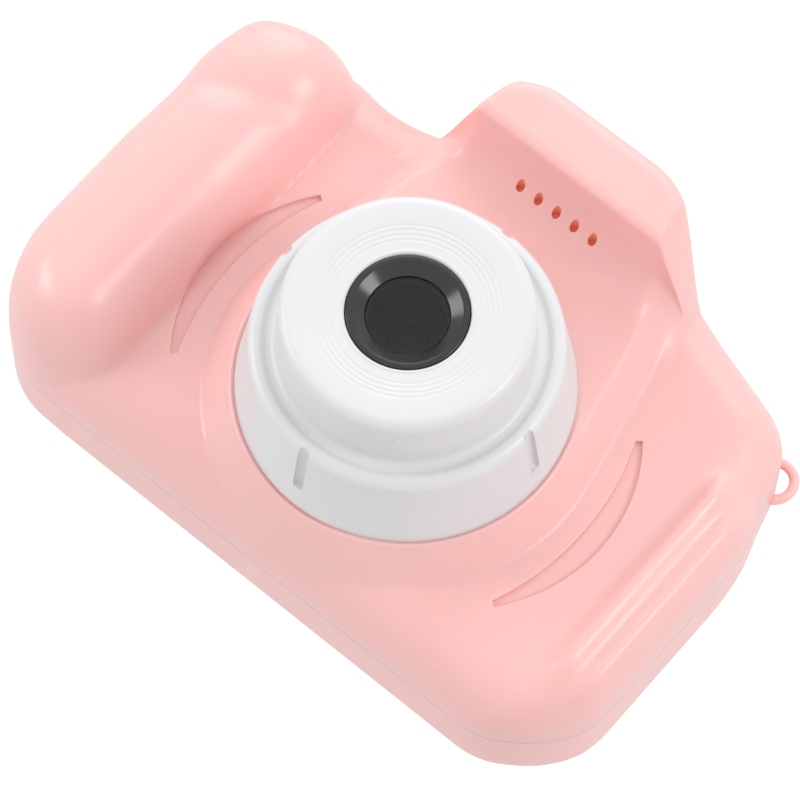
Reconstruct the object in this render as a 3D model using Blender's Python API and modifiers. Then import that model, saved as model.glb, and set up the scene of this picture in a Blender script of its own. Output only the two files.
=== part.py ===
# A small digital camera for children: two moulded shells that meet at a parting plane, a two-step
# lens ring, rear keys, two top buttons, a memory card and the electronics inside.
# X runs across the camera, Y from the lens to the screen, Z up. The origin is on the flat underside
# of the rear cover, below the lens axis. Sizes are in millimetres; MM turns them into scene metres.

import math

import bmesh
import bpy
import numpy as np
from mathutils import Matrix, Vector

MM = 0.001
GAP = 0.3

# Case
LENS_HEIGHT = 23.1
PARTING_Y = -3.0
REAR_DEPTH = 11.0
WALL = 1.8
SIDES = 64
REAR_EDGE_RADIUS = 4.5
REAR_Y = PARTING_Y + REAR_DEPTH
REAR_INNER_Y = REAR_Y - WALL

# Outline of both shells at the parting plane, seen from the front, measured from the lens axis
RIGHT_SIDE = 38.6
LEFT_SIDE = -45.1
OUTLINE_KNOTS = [
    (0.0, 34.9),
    (7.4, 34.9),
    (11.6, 33.4),
    (14.4, 32.1),
    (17.6, 30.9),
    (22.2, 29.2),
    (27.2, 27.6),
    (32.1, 25.8),
    (34.9, 23.1),
    (36.5, 18.0),
    (38.0, 12.9),
    (38.6, 7.0),
    (38.6, -4.0),
    (38.5, -12.6),
    (37.0, -16.8),
    (33.6, -20.4),
    (28.6, -22.9),
    (20.0, -23.1),
    (0.0, -23.1),
    (-18.0, -23.1),
    (-31.0, -23.1),
    (-37.4, -22.3),
    (-42.2, -18.6),
    (-44.6, -13.4),
    (-45.1, -8.0),
    (-45.1, 3.0),
    (-44.7, 11.0),
    (-44.9, 17.4),
    (-43.5, 23.4),
    (-40.6, 26.3),
    (-35.6, 27.9),
    (-30.0, 28.2),
    (-25.5, 27.7),
    (-21.0, 28.2),
    (-17.2, 29.6),
    (-14.0, 31.6),
    (-11.2, 33.4),
    (-7.4, 34.9),
]

# Front surface, as heights in front of the parting plane
PLATE_HEIGHT = 8.1
BOSS_RISE = 3.9
BOSS_RADIUS = 19.3
BOSS_TAPER = math.atan(0.2)
BOSS_FOOT = 3.2
BROW_RISE = 13.5
BROW_INSET = 1.3
BROW_START = 21.5
BROW_LIP = 25.7
BROW_EDGE = 27.2
GRIP_CREST = -34.2
GRIP_OUTER_WIDTH = 10.8
GRIP_INNER_WIDTH = 8.6
GRIP_HEIGHT = 16.0
RIDGE_PLACES = [33.3, 37.0]
RIDGE_RISE = 1.1
OPENING_RADIUS = 12.0

# Strap eyelet, half sunk in the top right of the rear cover
EYELET = (34.5, 1.0, LENS_HEIGHT + 22.9)

# Lens ring, as heights in front of the boss, whose face is BOSS_Y
BOSS_Y = PARTING_Y - PLATE_HEIGHT - BOSS_RISE
COLLAR_RADIUS = 18.7
COLLAR_HEIGHT = 11.1
BARREL_RADIUS = 14.2
BARREL_HEIGHT = 18.9
BEZEL_RADIUS = 6.64
WINDOW_RADIUS = 4.55

# Rear face: the screen, as low X, high X, low Z and high Z, and the keys
SCREEN = (-12.8, 29.2, 9.0, 41.0)
KEY_CENTRE = (-27.0, 25.0)
KEY_PITCH = 8.4
KEY_RADIUS = 2.7
OK_RADIUS = 3.8
KEY_PROUD = 0.9
SHUTTER = (-33.0, 0.35)
SHUTTER_SIZE = (8.6, 5.0)
POWER_X = 24.0
POWER_Y = 0.35
POWER_RADIUS = 2.5

# Electronics
BOARD_FRONT = 0.0
BOARD_BACK = 1.2
BOARD = (-41.0, 29.8, 8.6, 41.2)
USB_X = (LEFT_SIDE + 0.9, LEFT_SIDE + 6.4)
USB_Z = (12.9, 20.4)
USB_Y = (1.5, 4.1)
CARD_Z = (23.0, 34.0)
CARD_Y = (-1.55, -0.85)
CARD_X = (LEFT_SIDE + 0.4, LEFT_SIDE + 15.4)

# Screws, as X and Z
CASE_SCREWS = [(-31.0, 4.9), (33.6, 8.9), (33.6, 36.3), (-21.5, 44.9)]
BOARD_SCREWS = [(-14.9, 11.0), (-14.9, 39.1), (-36.5, 10.6), (-36.5, 39.1)]

for old in list(bpy.data.objects):
    bpy.data.objects.remove(old)

parts = bpy.data.collections.new("kids_digital_camera")
bpy.context.scene.collection.children.link(parts)
cutters = bpy.data.collections.new("cutters")
bpy.context.scene.collection.children.link(cutters)


def material(name, colour, roughness, metallic=0.0):
    made = bpy.data.materials.new(name)
    made.use_nodes = True
    shader = made.node_tree.nodes["Principled BSDF"]
    shader.inputs["Base Color"].default_value = (*colour, 1.0)
    shader.inputs["Roughness"].default_value = roughness
    shader.inputs["Metallic"].default_value = metallic
    return made


pink = material("pink_plastic", (0.87, 0.45, 0.42), 0.38)
white = material("white_plastic", (0.82, 0.82, 0.84), 0.35)
black = material("black_plastic", (0.02, 0.02, 0.022), 0.3)
smoke = material("smoked_glass", (0.03, 0.03, 0.035), 0.08)
coated = material("coated_glass", (0.05, 0.04, 0.09), 0.05)
green = material("circuit_board", (0.03, 0.2, 0.09), 0.45)
steel = material("plated_steel", (0.6, 0.6, 0.6), 0.3, 1.0)
silver = material("battery_foil", (0.55, 0.57, 0.6), 0.35, 0.6)
amber = material("ribbon_film", (0.55, 0.25, 0.04), 0.35)
red = material("red_wire", (0.6, 0.03, 0.02), 0.4)


def add(name, mesh, surface, helper=False):
    made = bpy.data.objects.new(name, mesh)
    (cutters if helper else parts).objects.link(made)
    if helper:
        made.hide_render = True
        made.display_type = "WIRE"
    else:
        own = surface.copy()
        own.name = name + "_material"
        mesh.materials.append(own)
    return made


def finish_mesh(name, built):
    bmesh.ops.recalc_face_normals(built, faces=built.faces)
    mesh = bpy.data.meshes.new(name)
    built.to_mesh(mesh)
    built.free()
    mesh.shade_smooth()
    mesh.set_sharp_from_angle(angle=math.radians(35))
    return mesh


def box(name, low, high, surface, corner=0.0, helper=False):
    low = Vector(low)
    high = Vector(high)
    built = bmesh.new()
    bmesh.ops.create_cube(built, size=1.0)
    bmesh.ops.scale(built, vec=(high - low) * MM, verts=built.verts)
    made = add(name, finish_mesh(name, built), surface, helper)
    made.location = (low + high) / 2 * MM
    if corner:
        rounding = made.modifiers.new("rounded_edges", "BEVEL")
        rounding.width = corner * MM
        rounding.segments = 2
    return made


def cylinder(name, radius, start, end, surface=None, sides=16, helper=False):
    start = Vector(start) * MM
    end = Vector(end) * MM
    built = bmesh.new()
    bmesh.ops.create_cone(
        built,
        cap_ends=True,
        segments=sides,
        radius1=radius * MM,
        radius2=radius * MM,
        depth=(end - start).length,
    )
    made = add(name, finish_mesh(name, built), surface, helper)
    made.rotation_euler = (end - start).to_track_quat("Z", "Y").to_euler()
    made.location = (start + end) / 2
    return made


def turned(name, profile, base, direction, surface, steps=32):
    # The profile holds radius and height pairs that run down the outer side. Height is along direction.
    mesh = bpy.data.meshes.new(name)
    points = [(radius * MM, 0, height * MM) for radius, height in profile]
    edges = [(place, place + 1) for place in range(len(points) - 1)]
    if profile[0][0] > 0:
        edges.append((len(points) - 1, 0))
    mesh.from_pydata(points, edges, [])
    made = add(name, mesh, surface)
    made.location = Vector(base) * MM
    made.rotation_euler = Vector(direction).to_track_quat("Z", "Y").to_euler()
    turning = made.modifiers.new("turning", "SCREW")
    turning.axis = "Z"
    turning.steps = steps
    turning.render_steps = steps
    turning.use_merge_vertices = True
    turning.merge_threshold = 0.00001
    turning.use_smooth_shade = False
    return made


def oblong(name, centre, size, low, high, surface, helper=False):
    # An upright block with round ends, size[0] long in X and size[1] wide in Y
    built = bmesh.new()
    bmesh.ops.create_cube(built, size=1.0)
    bmesh.ops.scale(built, vec=(size[0] * MM, size[1] * MM, (high - low) * MM), verts=built.verts)
    upright = [
        edge for edge in built.edges if abs(edge.verts[0].co.z - edge.verts[1].co.z) > 0.5 * MM
    ]
    bmesh.ops.bevel(
        built,
        geom=upright,
        offset=size[1] * 0.49 * MM,
        segments=6,
        profile=0.5,
        affect="EDGES",
    )
    made = add(name, finish_mesh(name, built), surface, helper)
    made.location = Vector((centre[0], centre[1], (low + high) / 2)) * MM
    return made


def tube(name, points, radius, surface):
    curve = bpy.data.curves.new(name, "CURVE")
    curve.dimensions = "3D"
    curve.bevel_depth = radius * MM
    curve.bevel_resolution = 2
    curve.use_fill_caps = True
    spline = curve.splines.new("POLY")
    spline.points.add(len(points) - 1)
    for knot, place in zip(spline.points, points):
        knot.co = (*(Vector(place) * MM), 1.0)
    return add(name, curve, surface)


def combine(target, tool, operation):
    step = target.modifiers.new(tool.name, "BOOLEAN")
    step.operation = operation
    step.object = tool


def smooth_points(knots, count):
    # A closed curve through the knots, as points evenly spaced along it
    knots = np.array(knots)
    before = np.roll(knots, 1, axis=0)
    after = np.roll(knots, -1, axis=0)
    later = np.roll(knots, -2, axis=0)
    steps = np.linspace(0, 1, 12, endpoint=False)[:, None, None]
    curve = 0.5 * (
        2 * knots
        + (after - before) * steps
        + (2 * before - 5 * knots + 4 * after - later) * steps**2
        + (3 * knots - before - 3 * after + later) * steps**3
    )
    curve = curve.transpose(1, 0, 2).reshape(-1, 2)
    curve[:, 0] = np.clip(curve[:, 0], LEFT_SIDE, RIGHT_SIDE)
    curve[:, 1] = np.maximum(curve[:, 1], -LENS_HEIGHT)
    closed = np.vstack([curve, curve[:1]])
    along = np.concatenate([[0], np.cumsum(np.linalg.norm(np.diff(closed, axis=0), axis=1))])
    places = np.linspace(0, along[-1], count, endpoint=False)
    return np.stack([np.interp(places, along, closed[:, axis]) for axis in (0, 1)], axis=1)


outline = smooth_points(OUTLINE_KNOTS, SIDES)
fine_outline = smooth_points(OUTLINE_KNOTS, 360)


def edge_distance(points):
    # How far inside the outline each point is
    start = fine_outline
    run = np.roll(start, -1, axis=0) - start
    offset = points[:, None, :] - start[None]
    share = np.clip((offset * run).sum(2) / (run * run).sum(1), 0, 1)
    return np.linalg.norm(offset - share[..., None] * run, axis=2).min(1)


def ease(value):
    value = np.clip(value, 0, 1)
    return value * value * (3 - 2 * value)


def smooth_max(first, second, blend):
    share = np.clip(0.5 + 0.5 * (first - second) / blend, 0, 1)
    return second + (first - second) * share + blend * share * (1 - share)


def round_over(distance, width, height):
    # How much lower than the face an edge is, when it falls by height within width of the outline
    return height * (1 - np.sqrt(1 - np.clip(1 - distance / width, 0, 1) ** 2))


def boss_radius(points, grown):
    # How far from the lens axis the boss's edge is, in the direction of each point, when grown outwards.
    # It is round below, with straight sides above that lean in to the brow.
    side = np.abs(points[:, 0])
    reach = np.hypot(side, points[:, 1])
    lean = (side * math.cos(BOSS_TAPER) + points[:, 1] * math.sin(BOSS_TAPER)) / reach
    above = np.arctan2(points[:, 1], side) > BOSS_TAPER
    return (BOSS_RADIUS + grown) / np.where(above, np.maximum(lean, 0.2), 1.0)


def boss_distance(points):
    side = np.abs(points[:, 0])
    lean = side * math.cos(BOSS_TAPER) + points[:, 1] * math.sin(BOSS_TAPER)
    above = np.arctan2(points[:, 1], side) > BOSS_TAPER
    return np.where(above, lean, np.hypot(side, points[:, 1])) - BOSS_RADIUS


def front_height(points):
    x = points[:, 0]
    z = points[:, 1]
    side = np.abs(x)
    distance = edge_distance(points)
    outside = boss_distance(points)
    up_brow = ease((z - BROW_LIP) / (BROW_EDGE - BROW_LIP))
    lip = 1.7 * np.clip((z - BROW_START) / (BROW_LIP - BROW_START), 0, 1) ** 2
    rise = (BOSS_RISE + lip) * (1 - up_brow) + BROW_RISE * up_brow
    soft = 1 - ease(outside / BOSS_FOOT)
    steep = 1 - np.clip((outside + BROW_INSET) / 5.0, 0, 1) ** 0.55
    tower = rise * (soft * (1 - up_brow) + steep * up_brow)
    window = ease((z + 17) / 5) * ease((17 - z) / 5)
    ridges = sum(np.exp(-(((x - place) / 1.1) ** 2)) for place in RIDGE_PLACES)
    face = PLATE_HEIGHT + tower + RIDGE_RISE * ridges * window
    on_brow = ease((z - 24.5) / 3) * ease((17.0 - side) / 4)
    on_right = ease((x - 27) / 6) * (1 - ease((z - 10) / 8))
    width = 6.0 + (2.0 - 6.0) * on_brow + (4.5 - 6.0) * on_right
    drop = 7.0 + (2.2 - 7.0) * on_brow + (5.8 - 7.0) * on_right
    body = face - round_over(distance, width, drop)
    outer = np.clip(1 - distance / GRIP_OUTER_WIDTH, 0, 1)
    inner = np.clip((x - GRIP_CREST) / GRIP_INNER_WIDTH, 0, 1)
    reach = np.clip(outer**3 + inner**2, 0, 1)
    grip = GRIP_HEIGHT * (1 - reach) ** 0.42
    return smooth_max(body, grip, 1.6)


def rear_height(points):
    return REAR_DEPTH - round_over(edge_distance(points), REAR_EDGE_RADIUS, REAR_EDGE_RADIUS)


def inside_height(points, height):
    # The inner skin: the outer one worn back by a ball of the wall's thickness
    lowest = height(points) - WALL
    for share in (0.55, 1.0):
        reach = WALL * share
        sag = math.sqrt(WALL**2 - reach**2)
        for turn in np.linspace(0, 2 * math.pi, 8, endpoint=False):
            moved = points + reach * np.array([math.cos(turn), math.sin(turn)])
            lowest = np.minimum(lowest, height(moved) - sag)
    return lowest


def inset(points, amount):
    run = np.roll(points, -1, axis=0) - np.roll(points, 1, axis=0)
    inward = np.stack([run[:, 1], -run[:, 0]], axis=1)
    return points + amount * inward / np.linalg.norm(run, axis=1)[:, None]


def skin_rings(stops, shares, height, forward):
    # Rings from a skirt at the parting plane, over the edge and in. Each stop is a ring that the shares
    # before it lead up to.
    skirt = 0.8
    rings = [np.column_stack([stops[0], np.zeros(len(stops[0]))])]
    for (start, end), steps in zip(zip(stops, stops[1:]), shares):
        for share in steps:
            points = start + (end - start) * share
            rings.append(np.column_stack([points, np.maximum(height(points), skirt)]))
    return [
        [Vector((x, PARTING_Y + forward * (GAP / 2 + high), z + LENS_HEIGHT)) * MM for x, z, high in ring]
        for ring in rings
    ]


def loft(name, rings, closed_ring, surface):
    # Joins each ring to the next. The last joins the first, or the first and last are filled.
    built = bmesh.new()
    rows = [[built.verts.new(place) for place in ring] for ring in rings]
    pairs = list(zip(rows, rows[1:]))
    if closed_ring:
        pairs.append((rows[-1], rows[0]))
    for first, second in pairs:
        for place in range(len(first)):
            after = (place + 1) % len(first)
            built.faces.new((first[place], first[after], second[after], second[place]))
    if not closed_ring:
        built.faces.new(rows[0])
        built.faces.new(rows[-1])
    return add(name, finish_mesh(name, built), surface)


def towards(points, radius):
    # The points moved along their own directions to a radius from the lens axis
    return points * (radius / np.linalg.norm(points, axis=1))[:, None]


def feature_line(points, grown, height):
    # The ring that follows the boss's edge and the underside of the brow
    level = height / np.maximum(points[:, 1] / np.linalg.norm(points, axis=1), 0.05)
    reach = np.minimum(boss_radius(points, grown), level)
    return towards(points, np.minimum(reach, np.linalg.norm(points, axis=1) - 0.5))


def boss_end(x, z):
    # The height where a boss of the front cover ends inside the wall
    turns = np.linspace(0, 2 * math.pi, 12, endpoint=False)
    ring = np.column_stack([x + 3.0 * np.cos(turns), z - LENS_HEIGHT + 3.0 * np.sin(turns)])
    return float(front_height(ring).min()) - 0.5


def front_cover():
    opening = np.full(len(outline), OPENING_RADIUS)
    outer = skin_rings(
        [
            outline,
            feature_line(outline, BOSS_FOOT, BROW_EDGE),
            feature_line(outline, 0, BROW_LIP),
            towards(outline, opening),
        ],
        [[0, 0.06, 0.14, 0.26, 0.4, 0.55, 0.7, 0.85], [0, 0.5], [0, 0.4, 1]],
        front_height,
        -1,
    )
    start = inset(outline, WALL)
    inner = skin_rings(
        [
            start,
            feature_line(start, BOSS_FOOT - WALL, BROW_EDGE + WALL),
            feature_line(start, -WALL, BROW_LIP + WALL),
            towards(start, opening),
        ],
        [[0, 0.12, 0.35, 0.6], [0], [0, 1]],
        lambda points: inside_height(points, front_height),
        -1,
    )
    cover = loft("front_cover", outer + inner[::-1], True, pink)
    for count, (x, z) in enumerate(CASE_SCREWS):
        end = PARTING_Y - boss_end(x, z)
        start_y = PARTING_Y - GAP / 2
        boss = cylinder(f"front_boss_{count}", 3.0, (x, start_y, z), (x, end, z), helper=True)
        pilot = cylinder(
            f"front_pilot_{count}", 1.2, (x, start_y + 1, z), (x, end + 0.9, z), sides=12, helper=True
        )
        combine(cover, boss, "UNION")
        combine(cover, pilot, "DIFFERENCE")
    for count in range(5):
        x = (count - 2) * 2.55
        z = LENS_HEIGHT + BROW_LIP - 0.6
        hole = cylinder(
            f"sound_hole_{count}",
            0.58,
            (x, BOSS_Y + 4, z - 1.2),
            (x, BOSS_Y - 4, z + 0.8),
            sides=10,
            helper=True,
        )
        combine(cover, hole, "DIFFERENCE")


def rear_posts(cover):
    for count, (x, z) in enumerate(CASE_SCREWS):
        post = cylinder(
            f"rear_boss_{count}", 3.4, (x, PARTING_Y + GAP / 2, z), (x, REAR_Y - 1.2, z), helper=True
        )
        passage = cylinder(
            f"rear_passage_{count}", 1.25, (x, PARTING_Y - 1, z), (x, REAR_Y + 1, z), sides=12, helper=True
        )
        recess = cylinder(
            f"rear_recess_{count}", 2.35, (x, REAR_Y - 2.1, z), (x, REAR_Y + 1, z), sides=20, helper=True
        )
        combine(cover, post, "UNION")
        combine(cover, passage, "DIFFERENCE")
        combine(cover, recess, "DIFFERENCE")
    for count, (x, z) in enumerate(BOARD_SCREWS):
        post = cylinder(
            f"board_post_{count}", 1.8, (x, BOARD_BACK + GAP, z), (x, REAR_Y - 1.2, z), sides=16, helper=True
        )
        pilot = cylinder(
            f"board_pilot_{count}", 0.9, (x, BOARD_BACK - 1, z), (x, 5.4, z), sides=10, helper=True
        )
        combine(cover, post, "UNION")
        combine(cover, pilot, "DIFFERENCE")


def key_places():
    x, z = KEY_CENTRE
    return {
        "key_ok": (x, z, OK_RADIUS),
        "key_up": (x, z + KEY_PITCH, KEY_RADIUS),
        "key_down": (x, z - KEY_PITCH, KEY_RADIUS),
        "key_left": (x + KEY_PITCH, z, KEY_RADIUS),
        "key_right": (x - KEY_PITCH, z, KEY_RADIUS),
    }


def top_of_case(x):
    # Height and slope of the top outline at x
    top = fine_outline[fine_outline[:, 1] > 10]
    top = top[np.argsort(top[:, 0])]
    here = float(np.interp(x, top[:, 0], top[:, 1]))
    ahead = float(np.interp(x + 1, top[:, 0], top[:, 1]))
    behind = float(np.interp(x - 1, top[:, 0], top[:, 1]))
    return here + LENS_HEIGHT, (ahead - behind) / 2


def power_axis():
    height, slope = top_of_case(POWER_X)
    outward = Vector((-slope, 0, 1)).normalized()
    return Vector((POWER_X, POWER_Y, height)), outward


def rear_cover():
    shares = [0, 0.012, 0.03, 0.06, 0.1, 0.2]
    start = inset(outline, WALL)
    centre = np.zeros_like(outline)
    outer = skin_rings([outline, centre], [shares], rear_height, 1)
    inner = skin_rings(
        [start, centre], [shares[:1] + shares[3:]], lambda points: inside_height(points, rear_height), 1
    )
    # The skirt starts GAP / 2 behind the parting plane, so the far face is brought back by as much.
    outer[-1] = [Vector((place.x, REAR_Y * MM, place.z)) for place in outer[-1]]
    inner[-1] = [Vector((place.x, REAR_INNER_Y * MM, place.z)) for place in inner[-1]]
    cover = loft("rear_cover", outer[::-1] + inner, False, pink)
    eyelet = torus("eyelet", EYELET, 1.8, 0.7)
    combine(cover, eyelet, "UNION")
    rear_posts(cover)
    low_x, high_x, low_z, high_z = SCREEN
    seat = box(
        "screen_seat",
        (low_x - GAP, REAR_Y - 1.0, low_z - GAP),
        (high_x + GAP, REAR_Y + 2, high_z + GAP),
        None,
        helper=True,
    )
    sight = box(
        "screen_sight",
        (low_x + 1.6, REAR_INNER_Y - 1, low_z + 1.6),
        (high_x - 1.6, REAR_Y + 2, high_z - 1.6),
        None,
        helper=True,
    )
    usb_mouth = box(
        "usb_mouth",
        (LEFT_SIDE - 2, USB_Y[0] - 0.4, USB_Z[0] - 0.4),
        (LEFT_SIDE + 4, USB_Y[1] + 0.4, USB_Z[1] + 0.4),
        None,
        helper=True,
    )
    card_mouth = box(
        "card_mouth",
        (LEFT_SIDE - 2, CARD_Y[0] - GAP, CARD_Z[0] - 0.4),
        (LEFT_SIDE + 4, CARD_Y[1] + GAP, CARD_Z[1] + 0.4),
        None,
        helper=True,
    )
    grown = (SHUTTER_SIZE[0] + 2 * GAP, SHUTTER_SIZE[1] + 2 * GAP)
    shutter_mouth = oblong("shutter_mouth", SHUTTER, grown, 45.0, 56.0, None, helper=True)
    place, outward = power_axis()
    power_mouth = cylinder(
        "power_mouth", POWER_RADIUS + GAP, place - outward * 4, place + outward * 4, helper=True
    )
    for tool in (seat, sight, usb_mouth, card_mouth, shutter_mouth, power_mouth):
        combine(cover, tool, "DIFFERENCE")
    for name, (x, z, radius) in key_places().items():
        mouth = cylinder(
            name + "_mouth", radius + GAP, (x, REAR_INNER_Y - 1, z), (x, REAR_Y + 1, z), helper=True
        )
        combine(cover, mouth, "DIFFERENCE")


def torus(name, centre, ring_radius, wire_radius):
    bpy.ops.mesh.primitive_torus_add(
        major_radius=ring_radius * MM,
        minor_radius=wire_radius * MM,
        major_segments=20,
        minor_segments=8,
    )
    made = bpy.context.object
    made.name = name
    for home in list(made.users_collection):
        home.objects.unlink(made)
    cutters.objects.link(made)
    made.rotation_euler = (math.pi / 2, 0, 0)
    made.location = Vector(centre) * MM
    made.hide_render = True
    made.display_type = "WIRE"
    return made


def lens_turned(name, profile, surface, steps=32):
    return turned(name, profile, (0, BOSS_Y, LENS_HEIGHT), (0, -1, 0), surface, steps)


def quarter(centre, radius, first, last, count):
    # Points of an arc in a profile, from the first angle to the last
    turns = np.radians(np.linspace(first, last, count))
    return [(centre[0] + radius * math.cos(turn), centre[1] + radius * math.sin(turn)) for turn in turns]


def lens_ring():
    top = COLLAR_HEIGHT
    base = GAP
    collar_edge = quarter((15.6, top - 1.6), 1.6, 90, 8, 5)
    collar = lens_turned(
        "lens_collar",
        [(BARREL_RADIUS + GAP, top)]
        + collar_edge
        + [
            (COLLAR_RADIUS, base),
            (OPENING_RADIUS - GAP, base),
            (OPENING_RADIUS - GAP, -4.0),
            (OPENING_RADIUS - 1.8, -4.0),
            (OPENING_RADIUS - 1.8, base + 1.6),
            (COLLAR_RADIUS - WALL, base + 1.6),
            (COLLAR_RADIUS - WALL - 1.2, top - 1.7),
            (BARREL_RADIUS + GAP, top - 1.7),
        ],
        white,
        48,
    )
    for count in range(4):
        turn = count * math.pi / 2
        outward = Vector((math.cos(turn), 0, math.sin(turn)))
        along = Vector((0, 1, 0))
        across = outward.cross(along)
        centre = Vector((0, BOSS_Y - top + 2.2, LENS_HEIGHT)) + outward * (COLLAR_RADIUS - 1.0)
        notch = box(f"notch_{count}", (-0.9, -4.2, -0.6), (0.9, 4.2, 0.6), None, helper=True)
        notch.matrix_world = Matrix.Translation(centre * MM) @ Matrix(
            (outward, along, across)
        ).transposed().to_4x4()
        combine(collar, notch, "DIFFERENCE")
    front = BARREL_HEIGHT
    lens_turned(
        "lens_barrel",
        [(BEZEL_RADIUS + GAP, front - 0.3)]
        + quarter((BARREL_RADIUS - 2.4, front - 2.0), 2.0, 90, 6, 5)
        + [
            (BARREL_RADIUS, top),
            (BARREL_RADIUS, base + 1.6 + GAP),
            (BARREL_RADIUS - 1.6, base + 1.6 + GAP),
            (BARREL_RADIUS - 2.0, front - 2.6),
            (BEZEL_RADIUS + GAP, front - 2.6),
        ],
        white,
        48,
    )
    lens_turned(
        "lens_bezel",
        [
            (5.9, front),
            (BEZEL_RADIUS, front),
            (BEZEL_RADIUS, front - 2.4),
            (BEZEL_RADIUS - 0.5, front - 7.5),
            (WINDOW_RADIUS + GAP, front - 7.5),
            (WINDOW_RADIUS + GAP, front - 2.6),
            (WINDOW_RADIUS - 0.4, front - 2.6),
            (WINDOW_RADIUS - 0.4, front - 2.3),
            (WINDOW_RADIUS + GAP, front - 2.3),
            (WINDOW_RADIUS + GAP, front - 1.0),
        ],
        black,
    )
    lens_turned(
        "lens_window",
        [
            (0, front - 1.1),
            (WINDOW_RADIUS, front - 1.1),
            (WINDOW_RADIUS, front - 2.0),
            (0, front - 2.0),
        ],
        smoke,
    )
    lens_turned(
        "lens_holder",
        [
            (2.4, front - 7.0),
            (4.2, front - 7.0),
            (4.2, 2.6),
            (5.6, 2.6),
            (5.6, -1.1),
            (4.6, -1.1),
            (4.6, 1.4),
            (3.1, 1.4),
            (3.1, front - 9.0),
        ],
        black,
        24,
    )
    lens_turned(
        "lens_element",
        [(0, 9.6), (1.4, 9.4), (2.6, 8.9), (2.8, 8.2), (2.8, 6.6), (0, 6.6)],
        coated,
        24,
    )
    box("sensor_chip", (-3.0, BOSS_Y + 0.2, 20.1), (3.0, BOSS_Y + 1.1, 26.1), black)
    box("sensor_board", (-6.2, BOSS_Y + 1.4, 16.9), (6.2, BOSS_Y + 2.4, 29.3), green)
    ribbon()


def ribbon():
    # A flat cable from the sensor board, over the battery, to the main board
    route = [
        (-12.1, 25.0),
        (-11.6, 28.5),
        (-10.2, 31.5),
        (-9.5, 36.0),
        (-8.6, 38.6),
        (-6.5, 39.5),
        (-0.8, 39.6),
    ]
    built = bmesh.new()
    edge = [built.verts.new(Vector((-3, y, z)) * MM) for y, z in route]
    lines = [built.edges.new(pair) for pair in zip(edge, edge[1:])]
    made = bmesh.ops.extrude_edge_only(built, edges=lines)
    moved = [item for item in made["geom"] if isinstance(item, bmesh.types.BMVert)]
    bmesh.ops.translate(built, vec=(6 * MM, 0, 0), verts=moved)
    strip = add("sensor_ribbon", finish_mesh("sensor_ribbon", built), amber)
    thick = strip.modifiers.new("thickness", "SOLIDIFY")
    thick.thickness = 0.2 * MM
    thick.offset = 0


def screen():
    low_x, high_x, low_z, high_z = SCREEN
    box("screen_window", (low_x, REAR_Y - 0.75, low_z), (high_x, REAR_Y - 0.05, high_z), smoke)
    box("lcd_panel", (low_x - 0.1, 3.6, low_z - 0.1), (high_x + 0.2, 5.8, high_z + 0.1), steel, 0.2)
    frame = box("lcd_frame", (low_x - 0.1, 1.5, low_z - 0.1), (high_x + 0.2, 3.3, high_z + 0.1), white)
    hollow = box(
        "lcd_frame_hollow", (low_x + 2, 1.0, low_z + 2), (high_x - 2, 4.0, high_z - 2), None, helper=True
    )
    combine(frame, hollow, "DIFFERENCE")


def keys():
    inner = REAR_INNER_Y
    for name, (x, z, radius) in key_places().items():
        # Heights are measured from the case's inner face towards the rear.
        top = WALL + KEY_PROUD
        turned(
            name,
            [
                (0, top + 0.1),
                (radius * 0.6, top),
                (radius - 0.5, top - 0.25),
                (radius, top - 0.8),
                (radius, -GAP),
                (radius + 0.8, -GAP),
                (radius + 0.8, -1.2),
                (1.2, -1.2),
                (1.2, -1.6),
                (0, -1.6),
            ],
            (x, inner, z),
            (0, 1, 0),
            white,
            20,
        )
        switch(name.replace("key", "switch"), (x, BOARD_BACK + GAP, z), (0, 1, 0), 2.2)


def switch(name, base, outward, height):
    # A push switch: a square base that carries a round plunger, in one moulding
    made = turned(
        name,
        [(0, height), (1.1, height), (1.1, height - 0.7), (0, height - 0.7)],
        base,
        outward,
        black,
        12,
    )
    body = bmesh.new()
    bmesh.ops.create_cube(body, size=1.0)
    bmesh.ops.scale(body, vec=(4.2 * MM, 4.2 * MM, (height - 0.5) * MM), verts=body.verts)
    bmesh.ops.translate(body, vec=(0, 0, (height - 0.5) / 2 * MM), verts=body.verts)
    block = add(name + "_base", finish_mesh(name + "_base", body), None, helper=True)
    block.location = made.location
    block.rotation_euler = made.rotation_euler
    combine(made, block, "UNION")


def shutter():
    top, _ = top_of_case(SHUTTER[0])
    inner = top - WALL
    button = oblong("shutter_button", SHUTTER, SHUTTER_SIZE, inner - 2.1, top + 1.0, pink)
    rounding = button.modifiers.new("rounded_edges", "BEVEL")
    rounding.width = 0.5 * MM
    rounding.segments = 2
    rounding.limit_method = "ANGLE"
    rounding.angle_limit = math.radians(60)
    # The flange below keeps it in the case. It stays inside the rear cover, behind the parting plane.
    flange = box(
        "shutter_flange",
        (SHUTTER[0] - 4.9, SHUTTER[1] - 2.3, inner - 2.9),
        (SHUTTER[0] + 4.9, SHUTTER[1] + 2.3, inner - 2.0),
        None,
        helper=True,
    )
    combine(button, flange, "UNION")
    base = inner - 3.8
    switch("shutter_switch", (SHUTTER[0], SHUTTER[1], base - 2.2), (0, 0, 1), 2.2)
    box("shutter_board", (-38.5, -2.0, base - 3.5), (-27.5, 2.7, base - 2.5), green)


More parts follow.
